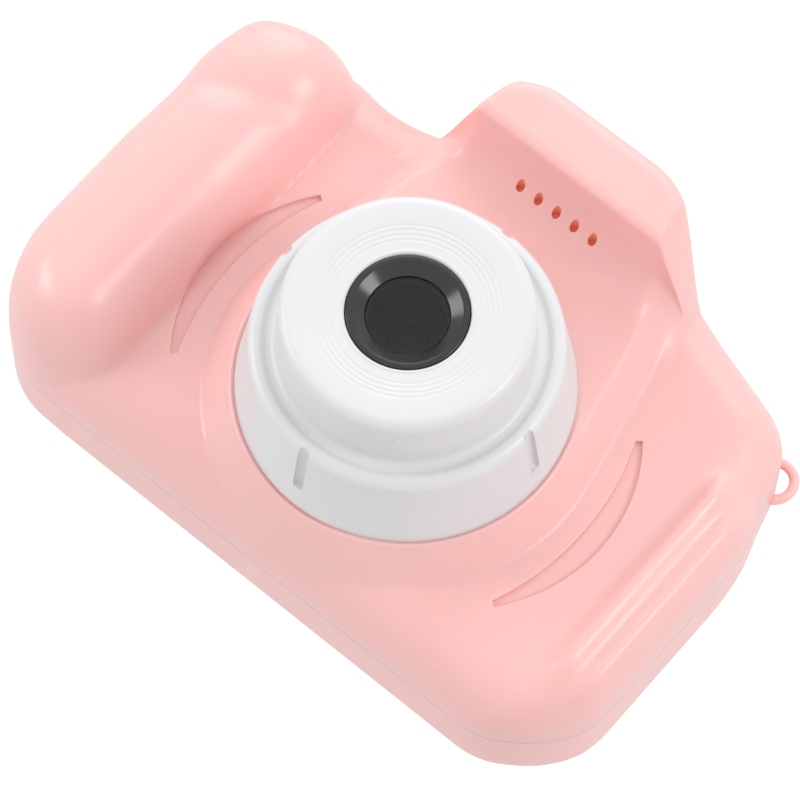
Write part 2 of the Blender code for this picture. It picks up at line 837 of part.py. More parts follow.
def power():
    place, outward = power_axis()
    top = WALL + 1.0
    turned(
        "power_button",
        [
            (0, top + 0.1),
            (POWER_RADIUS * 0.6, top),
            (POWER_RADIUS - 0.5, top - 0.25),
            (POWER_RADIUS, top - 0.8),
            (POWER_RADIUS, -0.9),
            (POWER_RADIUS + 0.6, -0.9),
            (POWER_RADIUS + 0.6, -1.8),
            (0, -1.8),
        ],
        place - outward * WALL,
        outward,
        pink,
        24,
    )
    foot = place - outward * (WALL + 4.9)
    switch("power_switch", foot, outward, 2.2)
    board = box("power_board", (-3.5, -2.4, -0.5), (3.5, 2.4, 0.5), green)
    board.rotation_euler = (0, math.atan2(outward.x, outward.z), 0)
    board.location = (foot - outward * 0.8) * MM


def socket(name, low, high, wall, depth, surface):
    # A thin metal box that is open towards -X
    built = bmesh.new()
    bmesh.ops.create_cube(built, size=1.0)
    size = Vector(high) - Vector(low)
    bmesh.ops.scale(built, vec=size * MM, verts=built.verts)
    mouth = min(built.faces, key=lambda face: face.calc_center_median().x)
    bmesh.ops.inset_individual(built, faces=[mouth], thickness=wall * MM, use_even_offset=True)
    pushed = bmesh.ops.extrude_discrete_faces(built, faces=[mouth])["faces"][0]
    bmesh.ops.translate(built, vec=(depth * MM, 0, 0), verts=pushed.verts)
    made = add(name, finish_mesh(name, built), surface)
    made.location = (Vector(low) + Vector(high)) / 2 * MM


def electronics():
    low_x, high_x, low_z, high_z = BOARD
    board = box("main_board", (low_x, BOARD_FRONT, low_z), (high_x, BOARD_BACK, high_z), green)
    for count, (x, z) in enumerate(BOARD_SCREWS):
        hole = cylinder(
            f"board_hole_{count}", 1.0, (x, BOARD_FRONT - 1, z), (x, BOARD_BACK + 1, z), sides=12, helper=True
        )
        combine(board, hole, "DIFFERENCE")
    box("processor", (8.0, -1.3, 14.0), (18.0, -0.3, 24.0), black)
    box("battery", (-19.0, -8.4, 5.0), (21.0, -3.6, 37.0), silver, 0.8)
    box("speaker", (-7.5, -13.0, 40.6), (7.5, -9.6, 50.4), black, 0.5)
    cylinder("microphone", 2.0, (26.0, -0.3, 12.0), (26.0, -1.9, 12.0), steel, 16)
    socket(
        "usb_socket", (USB_X[0], USB_Y[0], USB_Z[0]), (USB_X[1], USB_Y[1], USB_Z[1]), 0.35, 4.6, steel
    )
    socket(
        "card_socket",
        (LEFT_SIDE + 2.2, CARD_Y[0] - 0.65, CARD_Z[0] - 0.9),
        (LEFT_SIDE + 16.2, CARD_Y[1] + 0.55, CARD_Z[1] + 0.9),
        0.35,
        13.4,
        steel,
    )
    box("memory_card", (CARD_X[0], CARD_Y[0], CARD_Z[0]), (CARD_X[1], CARD_Y[1], CARD_Z[1]), black)
    tube(
        "battery_lead_red",
        [(22.0, -5.0, 34.0), (24.0, -5.0, 34.5), (25.5, -4.0, 35.5), (26.0, -2.0, 36.0), (26.0, -0.4, 36.0)],
        0.4,
        red,
    )
    tube(
        "battery_lead_black",
        [(22.0, -5.0, 31.5), (24.5, -5.0, 31.5), (26.5, -4.0, 32.0), (27.5, -2.0, 32.5), (27.5, -0.4, 32.5)],
        0.4,
        black,
    )
    tube(
        "speaker_lead_red",
        [(7.9, -11.0, 43.5), (9.5, -10.5, 43.0), (11.0, -8.0, 41.5), (11.5, -4.0, 39.8), (11.5, -0.4, 39.0)],
        0.4,
        red,
    )
    tube(
        "speaker_lead_black",
        [(7.9, -11.0, 46.0), (10.0, -10.5, 45.5), (13.0, -8.0, 43.0), (14.0, -4.0, 40.5), (14.0, -0.4, 39.2)],
        0.4,
        black,
    )


def screws():
    for count, (x, z) in enumerate(CASE_SCREWS):
        shaft = max(PARTING_Y - boss_end(x, z) + 1.4, -9.0) - 6.2
        turned(
            f"case_screw_{count + 1}",
            [
                (0, 1.2),
                (1.2, 1.1),
                (1.9, 0.6),
                (2.0, 0),
                (0.9, 0),
                (0.9, shaft + 0.5),
                (0.5, shaft),
                (0, shaft),
            ],
            (x, 6.2, z),
            (0, 1, 0),
            steel,
            16,
        )
    for count, (x, z) in enumerate(BOARD_SCREWS):
        turned(
            f"board_screw_{count + 1}",
            [(0, 0.9), (1.0, 0.8), (1.7, 0.4), (1.7, 0), (0.6, 0), (0.6, -4.8), (0.3, -5.2), (0, -5.2)],
            (x, -0.3, z),
            (0, -1, 0),
            steel,
            12,
        )


front_cover()
rear_cover()
lens_ring()
screen()
keys()
shutter()
power()
electronics()
screws()
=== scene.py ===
import math

import bmesh
import bpy
import numpy as np
from mathutils import Matrix, Vector


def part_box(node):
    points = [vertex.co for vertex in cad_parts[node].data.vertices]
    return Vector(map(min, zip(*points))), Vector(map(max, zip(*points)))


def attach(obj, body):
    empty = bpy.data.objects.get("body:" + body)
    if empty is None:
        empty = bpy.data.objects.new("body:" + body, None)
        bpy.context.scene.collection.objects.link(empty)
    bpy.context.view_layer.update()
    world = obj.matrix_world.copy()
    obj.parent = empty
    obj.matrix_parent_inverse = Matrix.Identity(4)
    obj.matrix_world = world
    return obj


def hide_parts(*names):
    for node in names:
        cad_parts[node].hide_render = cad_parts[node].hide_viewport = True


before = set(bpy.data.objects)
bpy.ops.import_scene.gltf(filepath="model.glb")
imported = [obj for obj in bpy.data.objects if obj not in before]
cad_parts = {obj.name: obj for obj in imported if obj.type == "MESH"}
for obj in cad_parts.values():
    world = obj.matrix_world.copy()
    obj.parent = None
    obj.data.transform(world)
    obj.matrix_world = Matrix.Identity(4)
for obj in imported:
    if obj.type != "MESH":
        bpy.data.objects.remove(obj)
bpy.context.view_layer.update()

print("frame loaded:", len(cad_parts), "nodes")

mm = 0.001               # every size below is in millimetres
lensHeight = 23.1        # lens axis above the flat underside
bossFace = -15.0         # Y of the flat face that the lens ring stands on
partingPlane = -3.0
rearFace = 8.0


def newGroup(name, sockets, results):
    group = bpy.data.node_groups.new(name, "ShaderNodeTree")
    kinds = {3: "NodeSocketVector", 4: "NodeSocketColor"}
    for label, value in sockets.items():
        kind = kinds[len(value)] if isinstance(value, tuple) else "NodeSocketFloat"
        socket = group.interface.new_socket(name=label, in_out="INPUT", socket_type=kind)
        socket.default_value = value
    for label, kind in results.items():
        group.interface.new_socket(name=label, in_out="OUTPUT", socket_type="NodeSocket" + kind)
    return group, group.nodes.new("NodeGroupInput").outputs, group.nodes.new("NodeGroupOutput")


def feed(tree, node, given):
    # Sets plain numbers and colours, and links what comes from another node
    for key, value in given.items():
        if isinstance(value, bpy.types.NodeSocket):
            tree.links.new(value, node.inputs[key])
        elif value is not None:
            node.inputs[key].default_value = value


def addNode(tree, kind, given, **settings):
    node = tree.nodes.new(kind)
    for key, value in settings.items():
        setattr(node, key, value)
    feed(tree, node, given)
    return node


def addNoise(tree, where, scale, detail, **more):
    given = {"Vector": where, "Scale": scale, "Detail": detail, **more}
    return addNode(tree, "ShaderNodeTexNoise", given).outputs[0]


def addMath(tree, operation, first, second, third=None, clamp=False):
    given = {0: first, 1: second, 2: third}
    node = addNode(tree, "ShaderNodeMath", given, operation=operation, use_clamp=clamp)
    return node.outputs[0]


def addRange(tree, value, low, high, first, second):
    ends = {"From Min": low, "From Max": high, "To Min": first, "To Max": second}
    return addNode(tree, "ShaderNodeMapRange", {"Value": value, **ends}).outputs["Result"]


def addBlend(tree, share, first, second):
    given = {0: share, 6: first, 7: second}
    return addNode(tree, "ShaderNodeMix", given, data_type="RGBA").outputs[2]


def makeMouldGrain():
    # Spark-eroded mould texture: fine pits, with a slow swell from cooling
    sockets = {"Position": (0, 0, 0), "Pits": 1.0}
    group, start, end = newGroup("mouldGrain", sockets, {"Height": "Float"})
    where = start["Position"]
    fine = addNoise(group, where, 5200.0, 3.0)
    swell = addNoise(group, where, 120.0, 1.0)
    pits = addMath(group, "MULTIPLY", fine, start["Pits"])
    feed(group, end, {"Height": addMath(group, "MULTIPLY_ADD", swell, 0.6, pits)})
    return group


def makeResinTone():
    # Slow colour drift of a tinted resin and a slightly deeper tint in flow marks
    sockets = {"Position": (0, 0, 0), "Colour": (1, 1, 1, 1), "Deeper": (1, 1, 1, 1)}
    group, start, end = newGroup("resinTone", sockets, {"Colour": "Color"})
    where = start["Position"]
    cloud = addNoise(group, where, 42.0, 4.0, Roughness=0.55, Distortion=0.8)
    speck = addNoise(group, where, 900.0, 2.0)
    slow = addRange(group, cloud, 0.35, 0.7, 0.0, 0.75)
    share = addMath(group, "MULTIPLY_ADD", speck, 0.25, slow, clamp=True)
    feed(group, end, {"Colour": addBlend(group, share, start["Colour"], start["Deeper"])})
    return group


def makeHandling():
    # Hairline scratches and faint finger smears; the scratches go into the relief as well
    sockets = {"Position": (0, 0, 0), "Roughness": 0.4, "Amount": 1.0}
    results = {"Roughness": "Float", "Scratch": "Float"}
    group, start, end = newGroup("handling", sockets, results)
    where = start["Position"]
    turned = {"Vector": where, "Rotation": (0.3, 0.5, 0.8), "Scale": (1.0, 22.0, 6.0)}
    stretched = addNode(group, "ShaderNodeMapping", turned).outputs[0]
    hair = addNoise(group, stretched, 160.0, 2.0, Distortion=0.4)
    scratch = addRange(group, hair, 0.69, 0.74, 0.0, 1.0)
    smear = addNoise(group, where, 75.0, 5.0, Distortion=1.4)
    smeared = addRange(group, smear, 0.4, 0.75, -0.05, 0.08)
    change = addMath(group, "MULTIPLY_ADD", scratch, 0.07, smeared)
    scaled = addMath(group, "MULTIPLY", change, start["Amount"])
    total = addMath(group, "ADD", scaled, start["Roughness"], clamp=True)
    feed(group, end, {"Roughness": total, "Scratch": scratch})
    return group


def makeDust():
    # A few settled specks, each a fraction of a millimetre across
    sockets = {"Position": (0, 0, 0), "Spacing": 300.0}
    group, start, end = newGroup("dustSpecks", sockets, {"Mask": "Float"})
    given = {"Vector": start["Position"], "Scale": start["Spacing"]}
    cells = addNode(group, "ShaderNodeTexVoronoi", given).outputs
    chosen = addNode(group, "ShaderNodeSeparateColor", {"Color": cells["Color"]}).outputs
    few = addMath(group, "GREATER_THAN", chosen[0], 0.86)
    size = addMath(group, "MULTIPLY", chosen[1], 0.07)
    near = addMath(group, "LESS_THAN", cells["Distance"], size)
    feed(group, end, {"Mask": addMath(group, "MULTIPLY", few, near)})
    return group


mouldGrain = makeMouldGrain()
resinTone = makeResinTone()
handling = makeHandling()
dustSpecks = makeDust()


def newMaterial(name):
    made = bpy.data.materials.new(name)
    made.use_nodes = True
    tree = made.node_tree
    where = addNode(tree, "ShaderNodeTexCoord", {}).outputs["Object"]
    return made, tree, tree.nodes["Principled BSDF"], where


def addGroup(tree, group, where, given):
    given = {"Position": where, **given}
    return addNode(tree, "ShaderNodeGroup", given, node_tree=group).outputs


def relief(tree, height, distance):
    given = {"Height": height, "Distance": distance * mm}
    return addNode(tree, "ShaderNodeBump", given).outputs[0]


def plastic(name, look):
    made, tree, shader, where = newMaterial(name)
    tints = {"Colour": (*look["colour"], 1), "Deeper": (*look["deeper"], 1)}
    tone = addGroup(tree, resinTone, where, tints)
    wear = {"Roughness": look["roughness"], "Amount": look["handled"]}
    touched = addGroup(tree, handling, where, wear)
    dust = addGroup(tree, dustSpecks, where, {"Spacing": look["dustSpacing"]})
    dusty = addMath(tree, "MULTIPLY", dust[0], look["dust"])
    grain = addGroup(tree, mouldGrain, where, {"Pits": look["pits"]})
    height = addMath(tree, "MULTIPLY_ADD", touched["Scratch"], -0.3, grain[0])
    given = {
        "Base Color": addBlend(tree, dusty, tone[0], (0.55, 0.52, 0.5, 1)),
        "Roughness": touched["Roughness"],
        "Normal": relief(tree, height, look["grainDepth"]),
        "IOR": 1.5,
        "Subsurface Weight": look.get("glow", 0.0),
        "Subsurface Radius": (1.0, 0.3, 0.25),
        "Subsurface Scale": 3.0 * mm,
        "Coat Weight": look.get("coat", 0.0),
        "Coat Roughness": 0.2,
    }
    feed(tree, shader, given)
    return made


# glow is how much light the resin lets through, pits and grainDepth the mould grain
plasticLooks = {
    "pinkShell": {
        "colour": (0.9, 0.515, 0.495), "deeper": (0.885, 0.495, 0.475), "roughness": 0.36,
        "coat": 0.12, "glow": 0.35, "handled": 1.0, "dust": 0.35, "dustSpacing": 260.0,
        "pits": 0.35, "grainDepth": 0.004,
    },
    "whiteRing": {
        "colour": (0.7, 0.7, 0.715), "deeper": (0.685, 0.685, 0.702), "roughness": 0.36,
        "handled": 0.8, "dust": 0.5, "dustSpacing": 260.0,
        "pits": 0.35, "grainDepth": 0.003,
    },
    "blackGloss": {
        "colour": (0.028, 0.027, 0.03), "deeper": (0.022, 0.021, 0.024), "roughness": 0.2,
        "handled": 0.5, "dust": 0.8, "dustSpacing": 1400.0,
        "pits": 0.2, "grainDepth": 0.002,
    },
    "blackMatt": {
        "colour": (0.03, 0.03, 0.032), "deeper": (0.024, 0.024, 0.026), "roughness": 0.55,
        "handled": 0.6, "dust": 0.3, "dustSpacing": 700.0,
        "pits": 1.0, "grainDepth": 0.008,
    },
    # a deeper red for the walls of the sound holes: painted shade inside the holes, not the resin's
    # own colour
    "paintedHoleShade": {
        "colour": (0.95, 0.36, 0.25), "deeper": (0.92, 0.31, 0.21), "roughness": 0.5,
        "handled": 0.4, "dust": 0.0, "dustSpacing": 300.0,
        "pits": 0.5, "grainDepth": 0.004,
    },
    "keyInk": {
        "colour": (0.2, 0.19, 0.2), "deeper": (0.16, 0.15, 0.16), "roughness": 0.5,
        "handled": 0.4, "dust": 0.2, "dustSpacing": 600.0,
        "pits": 0.6, "grainDepth": 0.004,
    },
    "redSleeve": {
        "colour": (0.6, 0.03, 0.02), "deeper": (0.5, 0.02, 0.015), "roughness": 0.42,
        "handled": 0.5, "dust": 0.1, "dustSpacing": 500.0,
        "pits": 0.5, "grainDepth": 0.006,
    },
}
looks = {name: plastic(name, look) for name, look in plasticLooks.items()}


def plated(name, colour, roughness):
    # Bright nickel plate, drawn along Y, with stained patches
    made, tree, shader, where = newMaterial(name)
    drawn = addNode(tree, "ShaderNodeMapping", {"Vector": where, "Scale": (1.0, 0.05, 1.0)})
    lines = addNoise(tree, drawn.outputs[0], 4200.0, 3.0)
    stain = addNoise(tree, where, 260.0, 4.0)
    worn = addRange(tree, stain, 0.35, 0.7, 0.0, 1.0)
    darker = tuple(part * 0.72 for part in colour)
    given = {
        "Base Color": addBlend(tree, worn, (*colour, 1), (*darker, 1)),
        "Roughness": addRange(tree, stain, 0.3, 0.75, roughness - 0.06, roughness + 0.1),
        "Metallic": 1.0,
        "Normal": relief(tree, lines, 0.003),
    }
    feed(tree, shader, given)
    return made


def circuitBoard():
    # Green solder mask over copper tracks, with tinned pads
    made, tree, shader, where = newMaterial("solderMask")
    flat = addNode(tree, "ShaderNodeMapping", {"Vector": where, "Rotation": (math.pi / 2, 0, 0)})
    laid = {"Vector": flat.outputs[0], "Scale": 160.0, "Mortar Size": 0.035}
    laid.update({"Mortar": (1, 1, 1, 1), "Color1": (0, 0, 0, 1), "Color2": (0, 0, 0, 1)})
    tracks = addNode(tree, "ShaderNodeTexBrick", laid).outputs[0]
    spread = {"Vector": where, "Scale": 420.0, "Randomness": 0.35}
    pads = addNode(tree, "ShaderNodeTexVoronoi", spread).outputs["Distance"]
    padMask = addMath(tree, "LESS_THAN", pads, 0.2)
    masked = addBlend(tree, tracks, (0.012, 0.13, 0.05, 1), (0.03, 0.24, 0.09, 1))
    given = {
        "Base Color": addBlend(tree, padMask, masked, (0.55, 0.54, 0.5, 1)),
        "Metallic": padMask,
        "Roughness": addRange(tree, padMask, 0, 1, 0.38, 0.25),
        "Normal": relief(tree, addMath(tree, "ADD", tracks, padMask), 0.03),
    }
    feed(tree, shader, given)
    return made


def pouchFoil():
    # Crinkled laminate of a battery pouch
    made, tree, shader, where = newMaterial("pouchFoil")
    folds = addNoise(tree, where, 330.0, 6.0, Distortion=2.2)
    given = {
        "Base Color": addBlend(tree, folds, (0.42, 0.44, 0.47, 1), (0.66, 0.68, 0.7, 1)),
        "Roughness": addRange(tree, folds, 0.3, 0.7, 0.24, 0.42),
        "Metallic": 0.7,
        "Normal": relief(tree, folds, 0.12),
    }
    feed(tree, shader, given)
    return made


def addStripes(tree, where, scale, direction):
    given = {"Vector": where, "Scale": scale, "Distortion": 0.0}
    return addNode(tree, "ShaderNodeTexWave", given, bands_direction=direction).outputs[1]


def flatFilm():
    # Amber polyimide with copper lines under it
    made, tree, shader, where = newMaterial("flatFilm")
    copper = addRange(tree, addStripes(tree, where, 950.0, "X"), 0.55, 0.65, 0.0, 1.0)
    given = {
        "Base Color": addBlend(tree, copper, (0.3, 0.1, 0.012, 1), (0.7, 0.3, 0.08, 1)),
        "Roughness": addRange(tree, copper, 0, 1, 0.3, 0.4),
        "Normal": relief(tree, copper, 0.02),
    }
    feed(tree, shader, given)
    return made


def displayGlass():
    # Unlit display: a dark blue-grey cell with fine rows
    made, tree, shader, where = newMaterial("displayGlass")
    rows = addStripes(tree, where, 2600.0, "Z")
    smear = addNoise(tree, where, 90.0, 4.0)
    given = {
        "Base Color": addBlend(tree, rows, (0.012, 0.014, 0.02, 1), (0.022, 0.026, 0.036, 1)),
        "Roughness": addRange(tree, smear, 0.3, 0.7, 0.14, 0.26),
    }
    feed(tree, shader, given)
    return made


def lensGlass(name, tint, roughness, transmission):
    # Clear glass with a light smear and a few specks of dust
    made, tree, shader, where = newMaterial(name)
    dust = addGroup(tree, dustSpecks, where, {"Spacing": 900.0})[0]
    smear = addNoise(tree, where, 260.0, 4.0)
    level = addRange(tree, smear, 0.4, 0.75, roughness, roughness + 0.06)
    given = {
        "Base Color": addBlend(tree, dust, (*tint, 1), (0.6, 0.58, 0.56, 1)),
        "Roughness": addMath(tree, "MULTIPLY_ADD", dust, 0.5, level),
        "Transmission Weight": transmission,
        "IOR": 1.42,
    }
    feed(tree, shader, given)
    return made


looks["platedSteel"] = plated("platedSteel", (0.68, 0.67, 0.65), 0.24)
looks["goldContact"] = plated("goldContact", (0.85, 0.6, 0.26), 0.26)
looks["solderMask"] = circuitBoard()
looks["pouchFoil"] = pouchFoil()
looks["flatFilm"] = flatFilm()
looks["displayGlass"] = displayGlass()
looks["smokedPane"] = lensGlass("smokedPane", (0.42, 0.42, 0.45), 0.02, 1.0)
looks["coatedLens"] = lensGlass("coatedLens", (0.2, 0.16, 0.34), 0.02, 0.6)
print("materials made:", len(looks))


def placed(name, data):
    made = bpy.data.objects.new(name, data)
    bpy.context.scene.collection.objects.link(made)
    return made


def meshOf(built, name):
    mesh = bpy.data.meshes.new(name)
    built.to_mesh(mesh)
    built.free()
    return mesh


def addPiece(name, built, surfaces, replaced=None, body="camera"):
    made = placed(name, meshOf(built, name))
    for surface in surfaces:
        made.data.materials.append(looks[surface])
    smoothOver(made.data)
    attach(made, body)
    if replaced:
        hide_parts(replaced)
    return made


def smoothOver(mesh):
    mesh.shade_smooth()
    mesh.set_sharp_from_angle(angle=math.radians(34))


def carve(target, tools, operation="DIFFERENCE", paint=0):
    # Cuts or joins closed shapes that don't touch each other, in one step
    whole = bmesh.new()
    for tool in tools:
        held = meshOf(tool, "tool")
        whole.from_mesh(held)
        bpy.data.meshes.remove(held)
    for face in whole.faces:
        face.material_index = paint
    bmesh.ops.recalc_face_normals(whole, faces=whole.faces)
    joined = meshOf(whole, "tools")
    for surface in target.data.materials:
        joined.materials.append(surface)
    helper = placed("tools", joined)
    step = target.modifiers.new("carve", "BOOLEAN")
    step.operation = operation
    step.solver = "EXACT"
    step.object = helper
    bpy.context.view_layer.update()
    seen = target.evaluated_get(bpy.context.evaluated_depsgraph_get())
    result = bpy.data.meshes.new_from_object(seen)
    result.name = target.name
    target.modifiers.clear()
    target.data = result
    bpy.data.objects.remove(helper)
    bpy.data.meshes.remove(joined)
    smoothOver(result)


def aimed(direction):
    return Vector(direction).to_track_quat("Z", "Y").to_matrix().to_4x4()


def spun(profile, base, direction, steps):
    # Turns a line of radius and height pairs, closed where it leaves the axis
    built = bmesh.new()
    points = [built.verts.new((radius * mm, 0, height * mm)) for radius, height in profile]
    edges = [built.edges.new(pair) for pair in zip(points, points[1:])]
    if profile[0][0] > 0:
        edges.append(built.edges.new((points[-1], points[0])))
    drawn = points + edges
    axis = {"cent": (0, 0, 0), "axis": (0, 0, 1)}
    bmesh.ops.spin(built, geom=drawn, angle=math.tau, steps=steps, use_merge=True, **axis)
    bmesh.ops.remove_doubles(built, verts=built.verts, dist=0.0005 * mm)
    bmesh.ops.recalc_face_normals(built, faces=built.faces)
    place = Matrix.Translation(Vector(base) * mm) @ aimed(direction)
    bmesh.ops.transform(built, matrix=place, verts=built.verts)
    return built


def arc(centre, radius, first, last, count=8):
    turns = np.radians(np.linspace(first, last, count))
    x, y = centre
    return [(x + radius * math.cos(turn), y + radius * math.sin(turn)) for turn in turns]


def rounded(built, edges, offset, segments):
    shape = {"profile": 0.5, "affect": "EDGES", "material": -1}
    bmesh.ops.bevel(built, geom=edges, offset=offset * mm, segments=segments, **shape)


def edgesAlong(built, axis, least):
    return [edge for edge in built.edges if abs((edge.verts[0].co - edge.verts[1].co)[axis]) > least]


def block(low, high, rounding=0.0, segments=3):
    low = Vector(low)
    high = Vector(high)
    built = bmesh.new()
    bmesh.ops.create_cube(built, size=1.0)
    bmesh.ops.scale(built, vec=(high - low) * mm, verts=built.verts)
    bmesh.ops.translate(built, vec=(low + high) / 2 * mm, verts=built.verts)
    if rounding:
        rounded(built, built.edges[:], rounding, segments)
    return built


def slab(outline, low, high, chamfer=0.0):
    # A flat outline in X and Z, raised along Y from low to high
    built = bmesh.new()
    corners = [built.verts.new((x * mm, low * mm, z * mm)) for x, z in outline]
    face = built.faces.new(corners)
    raised = bmesh.ops.extrude_face_region(built, geom=[face])["geom"]
    lifted = [item for item in raised if isinstance(item, bmesh.types.BMVert)]
    bmesh.ops.translate(built, vec=(0, (high - low) * mm, 0), verts=lifted)
    bmesh.ops.recalc_face_normals(built, faces=built.faces)
    if chamfer:
        level = high * mm
        rims = [
            edge for edge in built.edges if max(abs(vert.co.y - level) for vert in edge.verts) < 1e-7
        ]
        rounded(built, rims, chamfer, 2)
    return built


def roundedRectangle(lowX, highX, lowZ, highZ, radius, count=7):
    outline = []
    for x, z, first in (
        (highX - radius, highZ - radius, 0),
        (lowX + radius, highZ - radius, 90),
        (lowX + radius, lowZ + radius, 180),
        (highX - radius, lowZ + radius, 270),
    ):
        outline += arc((x, z), radius, first, first + 90, count)
    return outline


def sheetOfRings(rings):
    # One closed skin from rings of points, each ring joined to the next
    along, around, _ = rings.shape
    built = bmesh.new()
    bmesh.ops.create_grid(built, x_segments=around, y_segments=along - 1, size=0.5)
    for vert in built.verts:
        column = round((vert.co.x + 0.5) * around) % around
        row = round((vert.co.y + 0.5) * (along - 1))
        vert.co = rings[row, column] * mm
    bmesh.ops.remove_doubles(built, verts=built.verts, dist=0.0008 * mm)
    bmesh.ops.recalc_face_normals(built, faces=built.faces)
    return built


caseShape = {
    "right": 38.6,
    "left": -45.1,
    "wall": 1.8,
    "seam": 0.05,            # half the visible line between the covers
    "around": 520,
    "knots": [
        (0.0, 34.9), (7.4, 34.9), (11.6, 33.4), (14.4, 32.1), (17.6, 30.9), (22.2, 29.2),
        (27.2, 27.6), (32.1, 25.8), (34.9, 23.1), (36.5, 18.0), (38.0, 12.9), (38.6, 7.0),
        (38.6, -4.0), (38.5, -12.6), (37.0, -16.8), (33.6, -20.4), (28.6, -22.9), (20.0, -23.1),
        (0.0, -23.1), (-18.0, -23.1), (-31.0, -23.1), (-37.4, -22.3), (-42.2, -18.6),
        (-44.6, -13.4), (-45.1, -8.0), (-45.1, 3.0), (-44.7, 11.0), (-44.9, 17.4), (-43.5, 23.4),
        (-40.6, 26.3), (-35.6, 27.9), (-30.0, 28.2), (-25.5, 27.7), (-21.0, 28.2), (-17.2, 29.6),
        (-14.0, 31.6), (-11.2, 33.4), (-7.4, 34.9),
    ],
}

frontShape = {
    "plate": 8.1,            # heights are in front of the parting plane
    "bossRise": 3.9,
    "bossRadius": 19.3,
    "bossTaper": math.atan(0.2),
    "bossFoot": 3.1,
    "browRise": 13.5,
    "browInset": 1.3,
    "browStart": 20.0,
    "browWall": 27.1,
    "browCurl": 3.0,
    "browEdge": 1.0,
    "seatRing": (18.86, 19.35, 0.3),
    "gripCrest": -35.6,
    "gripOuter": 9.6,
    "gripInner": 10.0,
    "gripHeight": 16.0,
    "dent": (14.4, 2.0, 0.55),
    "ridges": (33.2, 37.1),
    "ridgeWidth": 1.45,
    "ridgeRise": 1.5,
    "behindHoles": 13.0,
    "opening": 12.0,
}


def outlinePoints(count, crowding=0.0):
    # A closed curve through the knots, as points spaced along it
    knots = np.array(caseShape["knots"])
    before = np.roll(knots, 1, axis=0)
    after = np.roll(knots, -1, axis=0)
    later = np.roll(knots, -2, axis=0)
    steps = np.linspace(0, 1, 24, endpoint=False)[:, None, None]
    curve = 0.5 * (
        2 * knots
        + (after - before) * steps
        + (2 * before - 5 * knots + 4 * after - later) * steps**2
        + (3 * knots - before - 3 * after + later) * steps**3
    )
    curve = curve.transpose(1, 0, 2).reshape(-1, 2)
    curve[:, 0] = np.clip(curve[:, 0], caseShape["left"], caseShape["right"])
    curve[:, 1] = np.clip(curve[:, 1], -lensHeight, 34.9)
    closed = np.vstack([curve, curve[:1]])
    middle = (closed[1:] + closed[:-1]) / 2
    # the points lie closer together beside the brow
    closer = 1 + crowding * np.exp(-(((np.abs(middle[:, 0]) - 14) / 5) ** 2)) * (middle[:, 1] > 22)
    lengths = np.linalg.norm(np.diff(closed, axis=0), axis=1) * closer
    along = np.concatenate([[0], np.cumsum(lengths)])
    places = np.linspace(0, along[-1], count, endpoint=False)
    return np.stack([np.interp(places, along, closed[:, axis]) for axis in (0, 1)], axis=1)


outline = outlinePoints(caseShape["around"], 2.2)
fineOutline = outlinePoints(360)


def edgeDistance(points):
    # How far inside the outline each point is
    run = np.roll(fineOutline, -1, axis=0) - fineOutline
    squared = (run * run).sum(1)
    found = []
    for some in np.array_split(points, max(1, len(points) // 4000)):
        offset = some[:, None, :] - fineOutline[None]
        share = np.clip((offset * run).sum(2) / squared, 0, 1)
        found.append(np.linalg.norm(offset - share[..., None] * run, axis=2).min(1))
    return np.concatenate(found)


def ease(value):
    value = np.clip(value, 0, 1)
    return value * value * (3 - 2 * value)


def softRamp(value, soft):
    # Rises from 0 to 1 in a straight line with a small radius at both ends
    return 0.5 * (np.sqrt(value**2 + soft**2) - np.sqrt((value - 1) ** 2 + soft**2) + 1)


def smoothMax(first, second, blend):
    share = np.clip(0.5 + 0.5 * (first - second) / blend, 0, 1)
    return second + (first - second) * share + blend * share * (1 - share)


def roundOver(distance, width, height):
    return height * (1 - np.sqrt(1 - np.clip(1 - distance / width, 0, 1) ** 2))


def bossRadius(points, grown):
    taper = frontShape["bossTaper"]
    side = np.abs(points[:, 0])
    reach = np.hypot(side, points[:, 1])
    lean = (side * math.cos(taper) + points[:, 1] * math.sin(taper)) / reach
    above = np.arctan2(points[:, 1], side) > taper
    return (frontShape["bossRadius"] + grown) / np.where(above, np.maximum(lean, 0.2), 1.0)


def bossDistance(points):
    taper = frontShape["bossTaper"]
    side = np.abs(points[:, 0])
    lean = side * math.cos(taper) + points[:, 1] * math.sin(taper)
    above = np.arctan2(points[:, 1], side) > taper
    return np.where(above, lean, np.hypot(side, points[:, 1])) - frontShape["bossRadius"]


def browRise(z):
    # Underside of the brow: a swoop that turns up into a wall, then a soft lower edge
    shape = frontShape
    under = shape["browRise"] - shape["bossRise"] - shape["browEdge"]
    share = np.clip((z - shape["browStart"]) / (shape["browWall"] - shape["browStart"]), 0, 1)
    curl = 1 - (1 - share ** shape["browCurl"]) ** (1 / shape["browCurl"])
    past = np.clip(1 - (z - shape["browWall"]) / (shape["browEdge"] * 1.3), 0, 1)
    lip = shape["browEdge"] * np.sqrt(1 - past**2)
    return shape["bossRise"] + under * curl + np.where(z > shape["browWall"], lip, 0)


